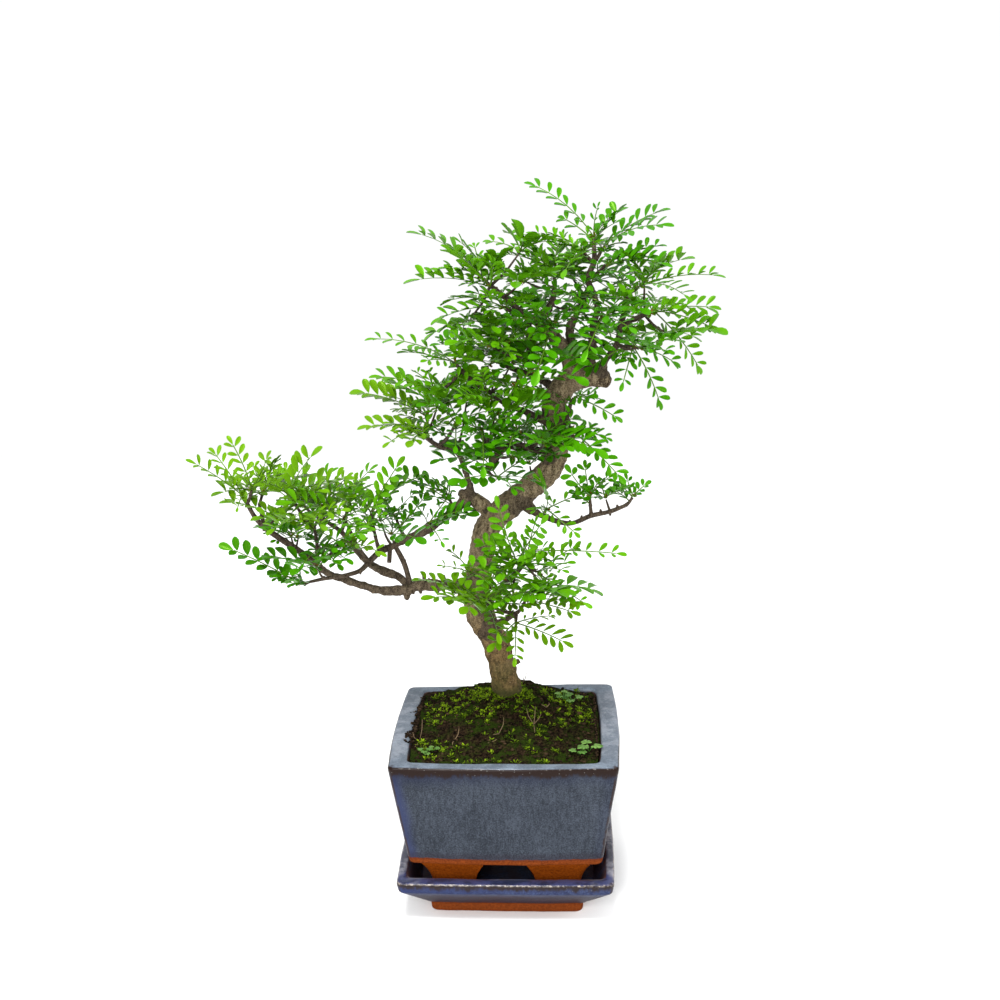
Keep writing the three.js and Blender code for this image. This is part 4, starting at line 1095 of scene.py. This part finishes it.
# Twigs and leaves, as rows of the limb a twig grows from, the bud at its end, the tips of the leaves
# that show best, how many more fill in, how young they are and how far they face the viewer
shoots = [
    ("low_bough", [-166, -27, 289], [[-197, -36, 315], [-188, -14, 317], [-165, -50, 286]], 0, 1, 0.5),
    ("low_bough", [-158, -36, 296], [[-170, -38, 330], [-160, -66, 311]], 1, 1, 0.5),
    ("pad_tip", [-158, -8, 285], [[-153, -4, 311], [-140, 8, 299]], 1, 0.6, 0.5),
    ("pad_riser", [-134, -34, 290], [[-115, -40, 321], [-144, -66, 306]], 1, 0.5, 0.5),
    ("low_fork", [-139, 30, 267], [[-117, 32, 291], [-160, 48, 285]], 1, 0.3, 0.4),
    ("pad_riser", [-116, -22, 280], [[-97, -26, 302], [-125, -52, 306]], 1, 0.6, 0.5),
    ("low_fork", [-105, 14, 272], [[-87, 16, 297], [-98, 50, 274]], 1, 0.3, 0.4),
    ("mid_bough", [-87, -6, 272], [[-65, -12, 308], [-94, -38, 294]], 1, 0.3, 0.5),
    ("mid_bough", [-73, 14, 262], [[-59, 10, 281], [-90, 34, 270]], 1, 0.2, 0.5),
    ("mid_bough", [-132, -24, 228], [[-180, -34, 258]], 1, 0.1, 1.3),
    ("pad_riser", [-115, -38, 257], [[-124, -60, 252], [-100, -60, 252]], 1, 0.1, 0.7),
    ("low_bough", [-102, -42, 262], [[-73, -54, 258]], 1, 0.5, 0.8),
    ("pad_riser", [-124, -50, 280], [[-137, -84, 282], [-104, -86, 285]], 1, 0.6, 0.6),
    ("mid_bough", [-100, -34, 276], [[-83, -72, 275], [-102, -74, 291]], 2, 0.4, 0.6),
    ("low_fork", [-131, 56, 259], [[-154, 84, 262], [-119, 86, 266]], 1, 0.2, 0.4),
    ("mid_bough", [-37, 12, 278], [[-70, 18, 290], [-51, -4, 295]], 1, 0.2, 0.5),
    ("mid_bough", [-49, -10, 265], [[-21, -24, 279], [-56, -26, 284], [-36, -34, 258]], 0, 0.1, 0.9),
    ("mid_riser", [-49, -15, 330], [[-87, -18, 332], [-71, -40, 325]], 1, 0.7, 0.5),
    ("mid_riser", [-48, 2, 334], [[-95, 6, 350], [-71, 30, 333]], 1, 0.8, 0.6),
    ("side_bough", [-41, -16, 353], [[-79, -20, 365], [-44, -30, 370]], 2, 0.3, 0.5),
    ("side_bough", [-28, -13, 372], [[-85, -16, 388], [-66, 14, 375]], 2, 0.4, 0.4),
    ("mid_riser", [-28, -22, 334], [[-26, -54, 325], [-46, -58, 354]], 1, 0.2, 0.7),
    ("elbow", [-11, -28, 333], [[-9, -56, 311], [-27, -62, 357]], 1, 0.2, 0.8),
    ("side_bough", [-6, -30, 352], [[-23, -66, 361], [-9, -60, 376]], 2, 0.3, 0.6),
    ("elbow", [12, -30, 333], [[7, -64, 326], [30, -62, 359]], 2, 0.2, 0.7),
    ("elbow", [26, -28, 328], [[63, -52, 322]], 1, 0.1, 0.8),
    ("back_bough", [-15, 36, 368], [[-43, 56, 376], [-32, 74, 348]], 2, 0.2, 0.4),
    ("elbow", [11, 34, 317], [[-10, 66, 318], [29, 70, 317]], 1, 0.1, 0.3),
    ("right_twig", [47, -10, 349], [[76, -16, 335], [62, 8, 344]], 0, 0.2, 0.9),
    ("right_twig", [46, -16, 328], [[70, -20, 323], [72, -30, 310]], 1, 0.1, 1),
    ("right_bough", [57, -14, 284], [[54, -12, 305], [42, -18, 298], [71, -18, 299]], 0, 0.2, 0.9),
    ("right_bough", [85, -14, 284], [[93, -14, 292], [82, -16, 298]], 0, 0.2, 0.8),
    ("right_bough", [29, -18, 277], [[49, -34, 264], [24, -44, 304]], 1, 0.3, 0.9),
    ("low_shoot", [17, -20, 249], [[82, -28, 249], [23, -30, 275]], 0, 0.3, 1.3),
    ("low_shoot", [10, -30, 245], [[-2, -38, 289], [31, -66, 277]], 0, 0.3, 1),
    ("low_shoot", [23, -22, 235], [[48, -44, 247], [47, -64, 236]], 1, 0.3, 0.8),
    ("base_shoot", [15, -20, 216], [[51, -48, 223], [48, -30, 210]], 1, 0.5, 0.8),
    ("base_shoot", [8, -18, 199], [[43, -34, 190], [8, -46, 182]], 1, 0.7, 0.8),
    ("low_shoot", [-21, -8, 230], [[-42, -18, 239], [-37, 6, 242]], 1, 0.6, 0.7),
    ("base_shoot", [-13, -12, 211], [[-48, -36, 223], [-1, -56, 201]], 1, 0.9, 0.8),
    ("leader", [60, 4, 448], [[17, 14, 482], [63, -2, 469]], 0, 0.2, 0.4),
    ("leader", [66, 6, 442], [[105, 10, 464], [107, -14, 455]], 0, 0.2, 0.4),
    ("leader", [68, -4, 432], [[105, 8, 442], [106, -20, 430]], 1, 0.2, 0.6),
    ("leader", [53, -6, 440], [[19, -2, 452], [41, -52, 431]], 2, 0.3, 0.5),
    ("crown_reach", [-10, -6, 425], [[-54, -10, 454], [-16, 6, 445]], 1, 0.4, 0.15),
    ("crown_reach", [-5, -16, 420], [[-54, -22, 425], [-29, -44, 445]], 2, 0.4, 0.15),
    ("crown_reach", [4, -20, 407], [[-37, -34, 402], [-35, -4, 409]], 3, 0.4, 0.2),
    ("crown_left", [35, 12, 426], [[1, 28, 436], [39, 44, 444]], 3, 0.3, 0.2),
    ("crown_right", [88, -14, 419], [[139, -18, 425], [116, -52, 415]], 2, 0.4, 0.3),
    ("right_arm", [98, 8, 401], [[138, 10, 402], [136, -8, 391], [130, 14, 359]], 0, 0.3, 0.8),
    ("crown_right", [84, -16, 382], [[102, -18, 343], [76, -40, 360]], 1, 0.2, 0.9),
    ("crown_back", [58, 32, 416], [[78, 58, 427], [38, 72, 417]], 3, 0.1, 0.3),
    ("crown_left", [34, -24, 399], [[24, -64, 371], [18, -62, 414]], 3, 0.2, 0.8),
    ("leader", [64, -28, 402], [[53, -66, 384], [82, -66, 399]], 3, 0.2, 0.8),
]
# Ends of the thinner side twigs that fill the crown and the pads between the others
side_buds = [
    [14, -10, 441], [14, -25, 424], [29, 15, 418], [46, -20, 415], [70, 20, 414], [70, -25, 407],
    [93, -30, 404], [105, 0, 388], [88, -25, 382], [70, 10, 374], [-18, -15, 399], [-5, 10, 393],
    [-6, -22, 372], [7, -20, 388], [-3, -35, 385], [7, 0, 368], [20, 20, 379], [21, -30, 371],
    [35, -15, 373], [10, -20, 357], [-6, 15, 352], [30, 10, 351], [-32, -15, 347], [-2, -34, 342],
    [-17, -10, 308], [7, -20, 312], [18, 5, 301], [-50, -14, 326], [29, -40, 325],
    [-157, -10, 286], [-145, -30, 276], [-139, -15, 258], [-118, 20, 269], [-83, 10, 261],
    [8, -30, 244], [-40, -14, 343], [0, -45, 239], [8, -52, 230], [28, -35, 230], [-14, -38, 221],
    [-28, -20, 221], [-74, -4, 256], [-136, -5, 254], [18, -18, 322], [-2, -24, 300],
    [-119, -34, 243], [16, 26, 418], [44, 36, 424], [56, 30, 400], [30, 34, 403], [8, 34, 398],
    [92, 12, 420], [84, 24, 404], [70, 34, 384], [-12, 30, 372], [12, 34, 372], [-24, 24, 340],
    [2, 30, 338], [67, -14, 283],
]
twig_thin = 0.9
side_twig_thin = 0.55
bud_gap = 1.0


def grown_route(rows, spacing):
    """Rows of [x, y, z, radius] along a smooth line through the given ones."""
    rows = np.array(rows, float)
    rows = np.vstack([2 * rows[0] - rows[1], rows, 2 * rows[-1] - rows[-2]])
    route = []
    for before, start, end, after in zip(rows, rows[1:], rows[2:], rows[3:]):
        first = math.sqrt(math.dist(before[:3], start[:3]))
        middle = math.sqrt(math.dist(start[:3], end[:3]))
        final = math.sqrt(math.dist(end[:3], after[:3]))
        leave = (start - before) / first - (end - before) / (first + middle) + (end - start) / middle
        arrive = (end - start) / middle - (after - start) / (middle + final) + (after - end) / final
        steps = max(1, round(math.dist(start[:3], end[:3]) / spacing))
        for step in range(steps):
            t = step / steps
            row = (2 * t**3 - 3 * t**2 + 1) * start + (3 * t**2 - 2 * t**3) * end
            row += middle * ((t**3 - 2 * t**2 + t) * leave + (t**3 - t**2) * arrive)
            row[3] = start[3] + (end[3] - start[3]) * t
            route.append(row)
    route.append(rows[-2])
    return np.array(route)


def twig_rows(places, bud, thin_end=twig_thin):
    """The twig from the nearest of some places to just short of the bud, hanging a little."""
    places = np.array(places, float)
    costs = np.linalg.norm(places[:, :3] - bud, axis=1) + 6 * (places[:, 2] > bud[2])
    root = places[np.argmin(costs)]
    reach = np.array(bud) - root[:3]
    length = np.linalg.norm(reach)
    end = bud - reach / length * bud_gap
    middle = (root[:3] + end) / 2 - [0, 0, 0.08 * length]
    thick = min(root[3], thin_end + 0.5)
    return [[*root[:3], thick], [*middle, (thick + thin_end) / 2], [*end, thin_end]]


def sway(spot):
    """Noise along each of the three axes."""
    return np.array([noise.noise(spot + Vector((shift, 0, 0))) for shift in (0, 31, 57)])


thick_limb = 2.2
wood = Growth()
twigs = Growth()
wood_rows = []
for number, rows in enumerate(limbs.values()):
    route = grown_route(rows, 2.0)
    lumpy = route.copy()
    for row in lumpy:
        spot = Vector(row[:3]) / 7 + Vector((number, 0, 0))
        row[3] *= 1 + 0.10 * noise.noise(spot) + 0.06 * noise.noise(spot * 2.5)
    stout = lumpy[:, 3] > thick_limb
    last = 1
    if stout[0]:
        last = len(stout) if stout.all() else int(np.argmin(stout)) + 1
        wood.bar(lumpy[: last + 1], sides=20)
        wood_rows.extend(route[: last + 1])
    if last < len(stout):
        twigs.bar(lumpy[last - 1 :], sides=9)
for root, cut in pruned_stubs:
    bigger = wood if root[3] > thick_limb else twigs
    bigger.bar(grown_route([root, cut], 1.5), sides=14)

# Short spurs stand on every limb but the trunk
spur_gap = 7
for number, (limb, rows) in enumerate(limbs.items()):
    if limb == "trunk":
        continue
    for step, row in enumerate(grown_route(rows, spur_gap)[1:-1]):
        turn = draw_turn(number, step + 40)
        side = np.array([0.5 * draw(step, number) - 0.25, math.cos(turn), math.sin(turn)])
        reach = row[3] + 0.5 + 1.3 * draw(number + 30, step)
        stem = 0.5 + 0.28 * row[3]
        near, far = row[:3] + side * row[3] * 0.3, row[:3] + side * reach
        spur = [[*near, stem * 1.3], [*(near * 0.4 + far * 0.6), stem], [*far, stem * 0.5]]
        twigs.bar(spur, sides=6)

# The sawn end of the old leader has rotted into knobs
cut_end = Vector((68, 3, 357.5))
knobs = 11
next_turn = 2.4
for number in range(knobs):
    turn = number * next_turn
    spread = 4.4 * math.sqrt(number / knobs)
    knob = cut_end + Vector((2.2 - spread * 0.3, spread * math.cos(turn), spread * math.sin(turn)))
    radius = 1.1 + 1.6 * draw(number, 3)
    ends = ((-4, radius), (0, radius), (1.5, 0.4))
    wood.bar([[*(knob + Vector((ahead, 0, 0))), thick] for ahead, thick in ends], sides=10)

for number, (limb, bud, *_) in enumerate(shoots):
    route = grown_route(twig_rows(limbs[limb], bud), 1.2)
    for step, row in enumerate(route):
        node_swell = 0.22 * max(0, math.cos(step * 1.3 + number)) ** 6
        row[3] *= 1 + node_swell + 0.08 * noise.noise(Vector(row[:3]) / 2)
    twigs.bar(route, sides=8)

every_place = [row for rows in limbs.values() for row in rows[1:]]
side_routes = [grown_route(twig_rows(every_place, bud, side_twig_thin), 1.5) for bud in side_buds]
for route in side_routes:
    for row in route:
        row[:3] += 0.5 * sway(Vector(row[:3]) / 9)
        row[3] *= 1 + 0.1 * noise.noise(Vector(row[:3]) / 2)
    twigs.bar(route, sides=7)

bark_finish = Finish("speckled_bark")
bark_height = bark_finish.place_on("Z")
thin = bark_finish.attribute("thin")
ridges = bark_finish.grain(2.6 * mm, 5, 0.7, (1, 1, 2.6))
fine_bark = bark_finish.grain(0.8 * mm, 4, 0.7)
patches = bark_finish.grain(17 * mm, 3, 0.6)
lenticels = bark_finish.specks(2.4 * mm, 0.3, (1.3, 1.3, 0.7))
bark_shade = bark_finish.step(ridges * 0.5 + fine_bark * 0.5, 0.38, 0.62)
# The bark is paler higher up the trunk.
paler_higher = bark_finish.step(bark_height + patches * 30 * mm, 0.175, 0.245)
bark_light = bark_finish.mix(paler_higher, (0.190, 0.122, 0.052), (0.290, 0.225, 0.138))
mossy = bark_finish.step(bark_height, 0.178, 0.122) * bark_finish.step(patches + fine_bark * 0.5, 0.55, 0.85)
damp_foot = bark_finish.step(bark_height + fine_bark * 8 * mm, 0.150, 0.133)
inputs = {0: bark_finish.place, 1: cut_end * mm}
from_cut = bark_finish.node("ShaderNodeVectorMath", {"operation": "DISTANCE"}, inputs, "Value")
rotten = bark_finish.step(from_cut, 11 * mm, 6 * mm) * bark_finish.step(fine_bark + ridges, 1.2, 0.9)
twig_shade = bark_shade * 0.6 + fine_bark * 0.4
bark_colour = bark_finish.over(
    bark_finish.mix(bark_shade, (0.026, 0.017, 0.008), bark_light),
    (bark_finish.step(patches, 0.45, 0.7) * 0.4, (0.150, 0.108, 0.062)),
    (lenticels * 0.6, (0.40, 0.29, 0.15)),
    (mossy * 0.8, (0.042, 0.050, 0.010)),
    (damp_foot * 0.75, (0.020, 0.020, 0.006)),
    (rotten * 0.85, (0.022, 0.013, 0.007)),
    (thin * 0.86, bark_finish.mix(twig_shade, (0.010, 0.007, 0.005), (0.075, 0.056, 0.043))),
)
bark_finish.set(Base_Color=bark_colour, Roughness=0.85, Specular_IOR_Level=0.1)
bark_finish.relief(ridges + fine_bark * 0.6 + lenticels * 0.5, 1.1 * mm)

# The stout limbs are merged into one skin, and the twigs are joined to it
stout_wood = wood.piece("stout_wood")
merge = stout_wood.modifiers.new("one_piece", "REMESH")
merge.mode = "VOXEL"
merge.voxel_size = 0.8 * mm
soften = stout_wood.modifiers.new("soften", "SMOOTH")
soften.factor = 0.5
soften.iterations = 3
grown = finished_mesh(stout_wood)
bpy.data.objects.remove(stout_wood)
tree = bpy.data.objects.new("tree_wood", grown)
scene.collection.objects.link(tree)
grown.shade_smooth()
grown.materials.clear()
grown.materials.append(bark_finish.material)
roughen(tree, [(11 * mm, 0.9 * mm, 1), (4.2 * mm, 0.7 * mm, 2), (1.9 * mm, 0.35 * mm, 6)])


def finder_of(places):
    """Search tree that finds the nearest of some places."""
    finder = KDTree(len(places))
    for number, place in enumerate(places):
        finder.insert(place, number)
    finder.balance()
    return finder


row_finder = finder_of([Vector(row[:3]) * mm for row in wood_rows])
girths = [wood_rows[row_finder.find(corner.co)[1]][3] for corner in grown.vertices]
store(tree, "thin", np.clip((5.0 - np.array(girths)) / 2, 0, 0.85))
thin_wood = twigs.piece("thin_wood", bark_finish)
store(thin_wood, "thin", [1.0] * len(thin_wood.data.vertices))
both = [tree, thin_wood]
with bpy.context.temp_override(
    active_object=tree, object=tree, selected_objects=both, selected_editable_objects=both
):
    bpy.ops.object.join()
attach(tree, "root")
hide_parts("tree")

# Sprays of leaves. At the end of each twig, compound leaves fan out: a thin green stalk with pairs
# of glossy leaflets folded up from it and one at the tip, greener the older they are, round a
# tuft of yellow-brown buds. One piece for each spray.


def leaf_finish(name, dark, bright):
    """Glossy leaflets with a paler rib, and paler still underneath."""
    finish = Finish(name)
    under = finish.attribute("under")
    rib = finish.step(finish.attribute("rib"), 0.82, 0.97)
    cells = finish.grain(1.3 * mm, 3)
    tone = finish.attribute("tone") * 0.85 + cells * 0.15
    pale = tuple(0.6 * channel + share for channel, share in zip(bright, (0.026, 0.062, 0.002)))
    colour = finish.over(
        finish.mix(tone, dark, bright),
        (rib * 0.45, pale),
        (under * 0.55, pale),
        (finish.attribute("stalk"), (0.055, 0.125, 0.008)),
        (finish.attribute("bud"), (0.13, 0.085, 0.010)),
    )
    finish.set(
        Base_Color=colour,
        Roughness=0.24 + under * 0.25,
        Specular_IOR_Level=0.2,
        Specular_Tint=(0.6, 1.0, 0.15),
    )
    finish.relief(cells, 0.08 * mm)
    return finish


leaf_finishes = {
    "old_leaf": leaf_finish("old_leaf_green", (0.017, 0.114, 0.0006), (0.046, 0.212, 0.001)),
    "leaf": leaf_finish("leaf_green", (0.034, 0.146, 0.0008), (0.079, 0.252, 0.002)),
    "young_leaf": leaf_finish("young_leaf_green", (0.058, 0.170, 0.001), (0.108, 0.245, 0.004)),
}


def add_compound_leaf(growth, bud, ahead, across, up, length, arch, seed, breadth):
    """A stalk with three to six pairs of leaflets that grow larger towards its tip."""
    pairs = int(np.clip(round(length / 8), 3, 6))
    first_pair = 0.2
    stalk_end = 0.87
    leaf_tone = 0.25 + 0.5 * draw(seed, 31)
    raised = 0.1 + 0.6 * draw(seed, 32)
    wide = (0.42 + 0.1 * draw(seed, 33)) * breadth
    large = (0.84 + 0.4 * draw(seed, 34)) * breadth

    def along(part):
        """Place on the arched stalk."""
        lift = 4 * arch * length * part * (1 - part)
        return bud + ahead * length * part + up * lift

    def leaflet_length(share):
        """Length of a leaflet of full size, as a share of the leaf's within limits."""
        return float(np.clip(length * share, 5.0, 10.0)) * large

    route = [[*along(stalk_end * step / 6), 0.55 - 0.2 * step / 6] for step in range(7)]
    growth.bar(route, 5, 0.6, up, stalk=1.0, tone=0.5)
    for pair in range(pairs):
        outer_share = pair / (pairs - 1)
        start = along(first_pair + (stalk_end - 0.04 - first_pair) * outer_share)
        size = 0.55 + 0.45 * math.sin(math.pi * (0.22 + 0.5 * outer_share))
        for side in (-1, 1):
            spin = seed * 7 + pair * 2 + (side > 0)
            jitter = draw(spin, 41) - 0.5
            toward = ahead * (0.7 + 0.4 * jitter) + across * side * 0.74
            toward = toward + up * (raised + 0.4 * (draw(spin, 42) - 0.5))
            face = up - across * side * raised * 0.8 + ahead * 0.3 * (draw(spin, 43) - 0.5)
            face = unit(face) + [0, 0.3, 0.25]
            reach = leaflet_length(0.25) * size * (0.88 + 0.24 * draw(spin, 44))
            tone = leaf_tone + 0.35 * (draw(spin, 45) - 0.5)
            fold = 0.25 + 0.25 * draw(spin, 46)
            curl = 0.05 + 0.15 * draw(spin, 47)
            root = start + across * side * 0.4
            add_leaflet(growth, root, toward, face, reach, reach * wide, fold, curl, tone=tone)
    reach = leaflet_length(0.23)
    end = along(stalk_end)
    add_leaflet(growth, end, along(1.0) - end, up, reach, reach * wide, 0.3, 0.1, tone=leaf_tone + 0.1)


def add_bud_tuft(growth, place, ahead, seed):
    """A tuft of scales and tiny new leaves where the leaves meet."""
    for scale in range(7):
        spin = seed * 11 + scale
        wild = np.array([draw(spin, 51), draw(spin, 52), draw(spin, 53)]) - 0.5
        toward = ahead + wild * 2.2
        face = np.array([wild[1], -wild[0], 0.7])
        length = 1.8 + 2.4 * draw(spin, 54)
        brown = 0.25 + 0.75 * (draw(spin, 55) > 0.4)
        add_leaflet(growth, place, toward, face, length, length * 0.45, 0.3, 0.1, tone=0.8, bud=brown)


def leaf_frame(bud, tip, tilt, roll):
    """Length and directions of a leaf from its bud to its tip, faced up and to the viewer."""
    reach = tip - bud
    length = np.linalg.norm(reach)
    ahead = reach / length
    up = np.array([math.sin(roll), -tilt, math.cos(roll)])
    up = unit(up - ahead * up.dot(ahead))
    return length, ahead, np.cross(up, ahead), up


def filling_tip(bud, tips, number, serial):
    """Tip of a leaf that fills in, spread to one side of the leaves that show best."""
    rays = [np.array(tip, float) - bud for tip in tips]
    reach = sum(np.linalg.norm(ray) for ray in rays) / len(rays)
    ahead = unit(sum(unit(ray) for ray in rays))
    wide = 1.0 + 0.8 * (number // 2) + 0.5 * draw(serial, 11)
    turn = wide if number % 2 == 0 else -wide
    x = ahead[0] * math.cos(turn) - ahead[1] * math.sin(turn)
    y = ahead[0] * math.sin(turn) + ahead[1] * math.cos(turn)
    ahead = unit(np.array([x, y, ahead[2] * 0.5 + 0.45 * draw(serial, 12)]))
    return bud + ahead * np.clip(reach * 0.8, 20, 32)


# Habits of the small leaves on a twig and of those at a side bud: how far they follow it, how
# steeply they may rise, their least length and what it may gain, and how far they may roll
twig_leaf = (0.5, 0.6, 17, 15, 1.3)
side_leaf = (0.35, 0.5, 20, 16, 1.4)
small_arch = 0.08


def add_small_leaf(growth, root, heading, turn, serial, habit, scale, tilt, breadth):
    """A smaller leaf that spreads from its place on a twig, drawn by its habit."""
    follow, steep, least, gain, roll_range = habit
    toward = unit(heading * follow + outward(turn, steep * draw(serial, 63) - 0.15))
    length = (least + gain * draw(serial, 64)) * scale
    roll = roll_range * (draw(serial, 65) - 0.5)
    length, ahead, across, up = leaf_frame(root, root + toward * length, tilt, roll)
    add_compound_leaf(growth, root, ahead, across, up, length, small_arch, serial, breadth)


leaf_tries = 12
meets = 0.05 * mm
twig_leaves = 4
bare_twig_leaves = 2
side_leaves = 5
twig_leaf_seed = 1000
side_leaf_seed = 3000
side_tuft_seed = 500
seeds_apart = 20
short_limb = "right_bough"
short = 0.62
bare_limbs = ("base_shoot", "low_shoot", "right_arm", "right_twig", "right_bough", "side_bough", "low_bough")
slim_limbs = ("leader", "right_arm", "crown_right", "base_shoot", "low_shoot", "low_bough", "side_bough")
slim = 0.87
young_from = 0.5
grown_from = 0.25
spray_buds = np.array([row[1] for row in shoots], float)
spray_of = [int(np.argmin(np.linalg.norm(spray_buds - place, axis=1))) for place in side_buds]
for number, (limb, bud, tips, more, young, tilt) in enumerate(shoots):
    node = f"spray_{number + 1:02d}_{limb}"
    finder = finder_of([corner.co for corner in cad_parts[node].data.vertices])
    bud = np.array(bud, float)
    ends = [np.array(tip, float) for tip in tips]
    ends += [filling_tip(bud, tips, extra, number * 10 + extra) for extra in range(more)]
    spray = Growth("tone", "rib", "under", "stalk", "bud")
    leaf_breadth = slim if limb in slim_limbs else 1.0

    # A leaf of the solid spray is drawn anew until its tip meets a corner of that solid
    for place, end in enumerate(ends):
        serial = number * 10 + place
        for attempt in range(leaf_tries):
            salt = attempt * 5
            swing = np.array([draw(serial, salt + turn) - 0.5 for turn in (21, 22, 23)])
            roll = (draw(serial, salt + 25) - 0.5) * (0.8 + 0.3 * attempt)
            tip = end + swing * attempt * 5
            length, ahead, across, up = leaf_frame(bud, tip, tilt, roll)
            if finder.find(Vector(tip + up * 0.3) * mm)[2] < meets:
                arch = 0.04 + 0.08 * draw(serial, salt + 24)
                add_compound_leaf(spray, bud, ahead, across, up, length, arch, serial, leaf_breadth)
                break

    route = grown_route(twig_rows(limbs[limb], bud), 1.0)[:, :3]
    heading = unit(sum(end - bud for end in ends))
    scale = short if limb == short_limb else 1.0
    for extra in range(bare_twig_leaves if limb in bare_limbs else twig_leaves):
        serial = twig_leaf_seed + number * seeds_apart + extra
        part = 0.35 + 0.65 * draw(serial, 61) if extra else 1.0
        root = route[int(part * (len(route) - 1))]
        turn = next_turn * extra + draw_turn(serial, 62)
        habit, small_tilt = twig_leaf, tilt * 0.7
        add_small_leaf(spray, root, heading, turn, serial, habit, scale, small_tilt, breadth=1.12)
    for side, place in enumerate(side_buds):
        if spray_of[side] != number:
            continue
        place = np.array(place, float)
        away = unit(place - side_routes[side][0][:3])
        habit, small_tilt = side_leaf, 0.2
        breadth = 1.3 if place[1] < 5 and place[0] > -45 else 1.15
        for leaf in range(side_leaves):
            serial = side_leaf_seed + side * seeds_apart + leaf
            turn = next_turn * leaf + draw_turn(side, 62)
            add_small_leaf(spray, place, away, turn, serial, habit, scale, small_tilt, breadth)
        add_bud_tuft(spray, place, away, side_tuft_seed + side)
    add_bud_tuft(spray, bud, heading, number)

    slot = "young_leaf" if young >= young_from else "leaf" if young >= grown_from else "old_leaf"
    leaves = spray.piece(f"leaves_{number + 1:02d}_{limb}", leaf_finishes[slot])
    leaves.data.set_sharp_from_angle(angle=math.radians(60))
    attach(leaves, "root")
    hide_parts(node)
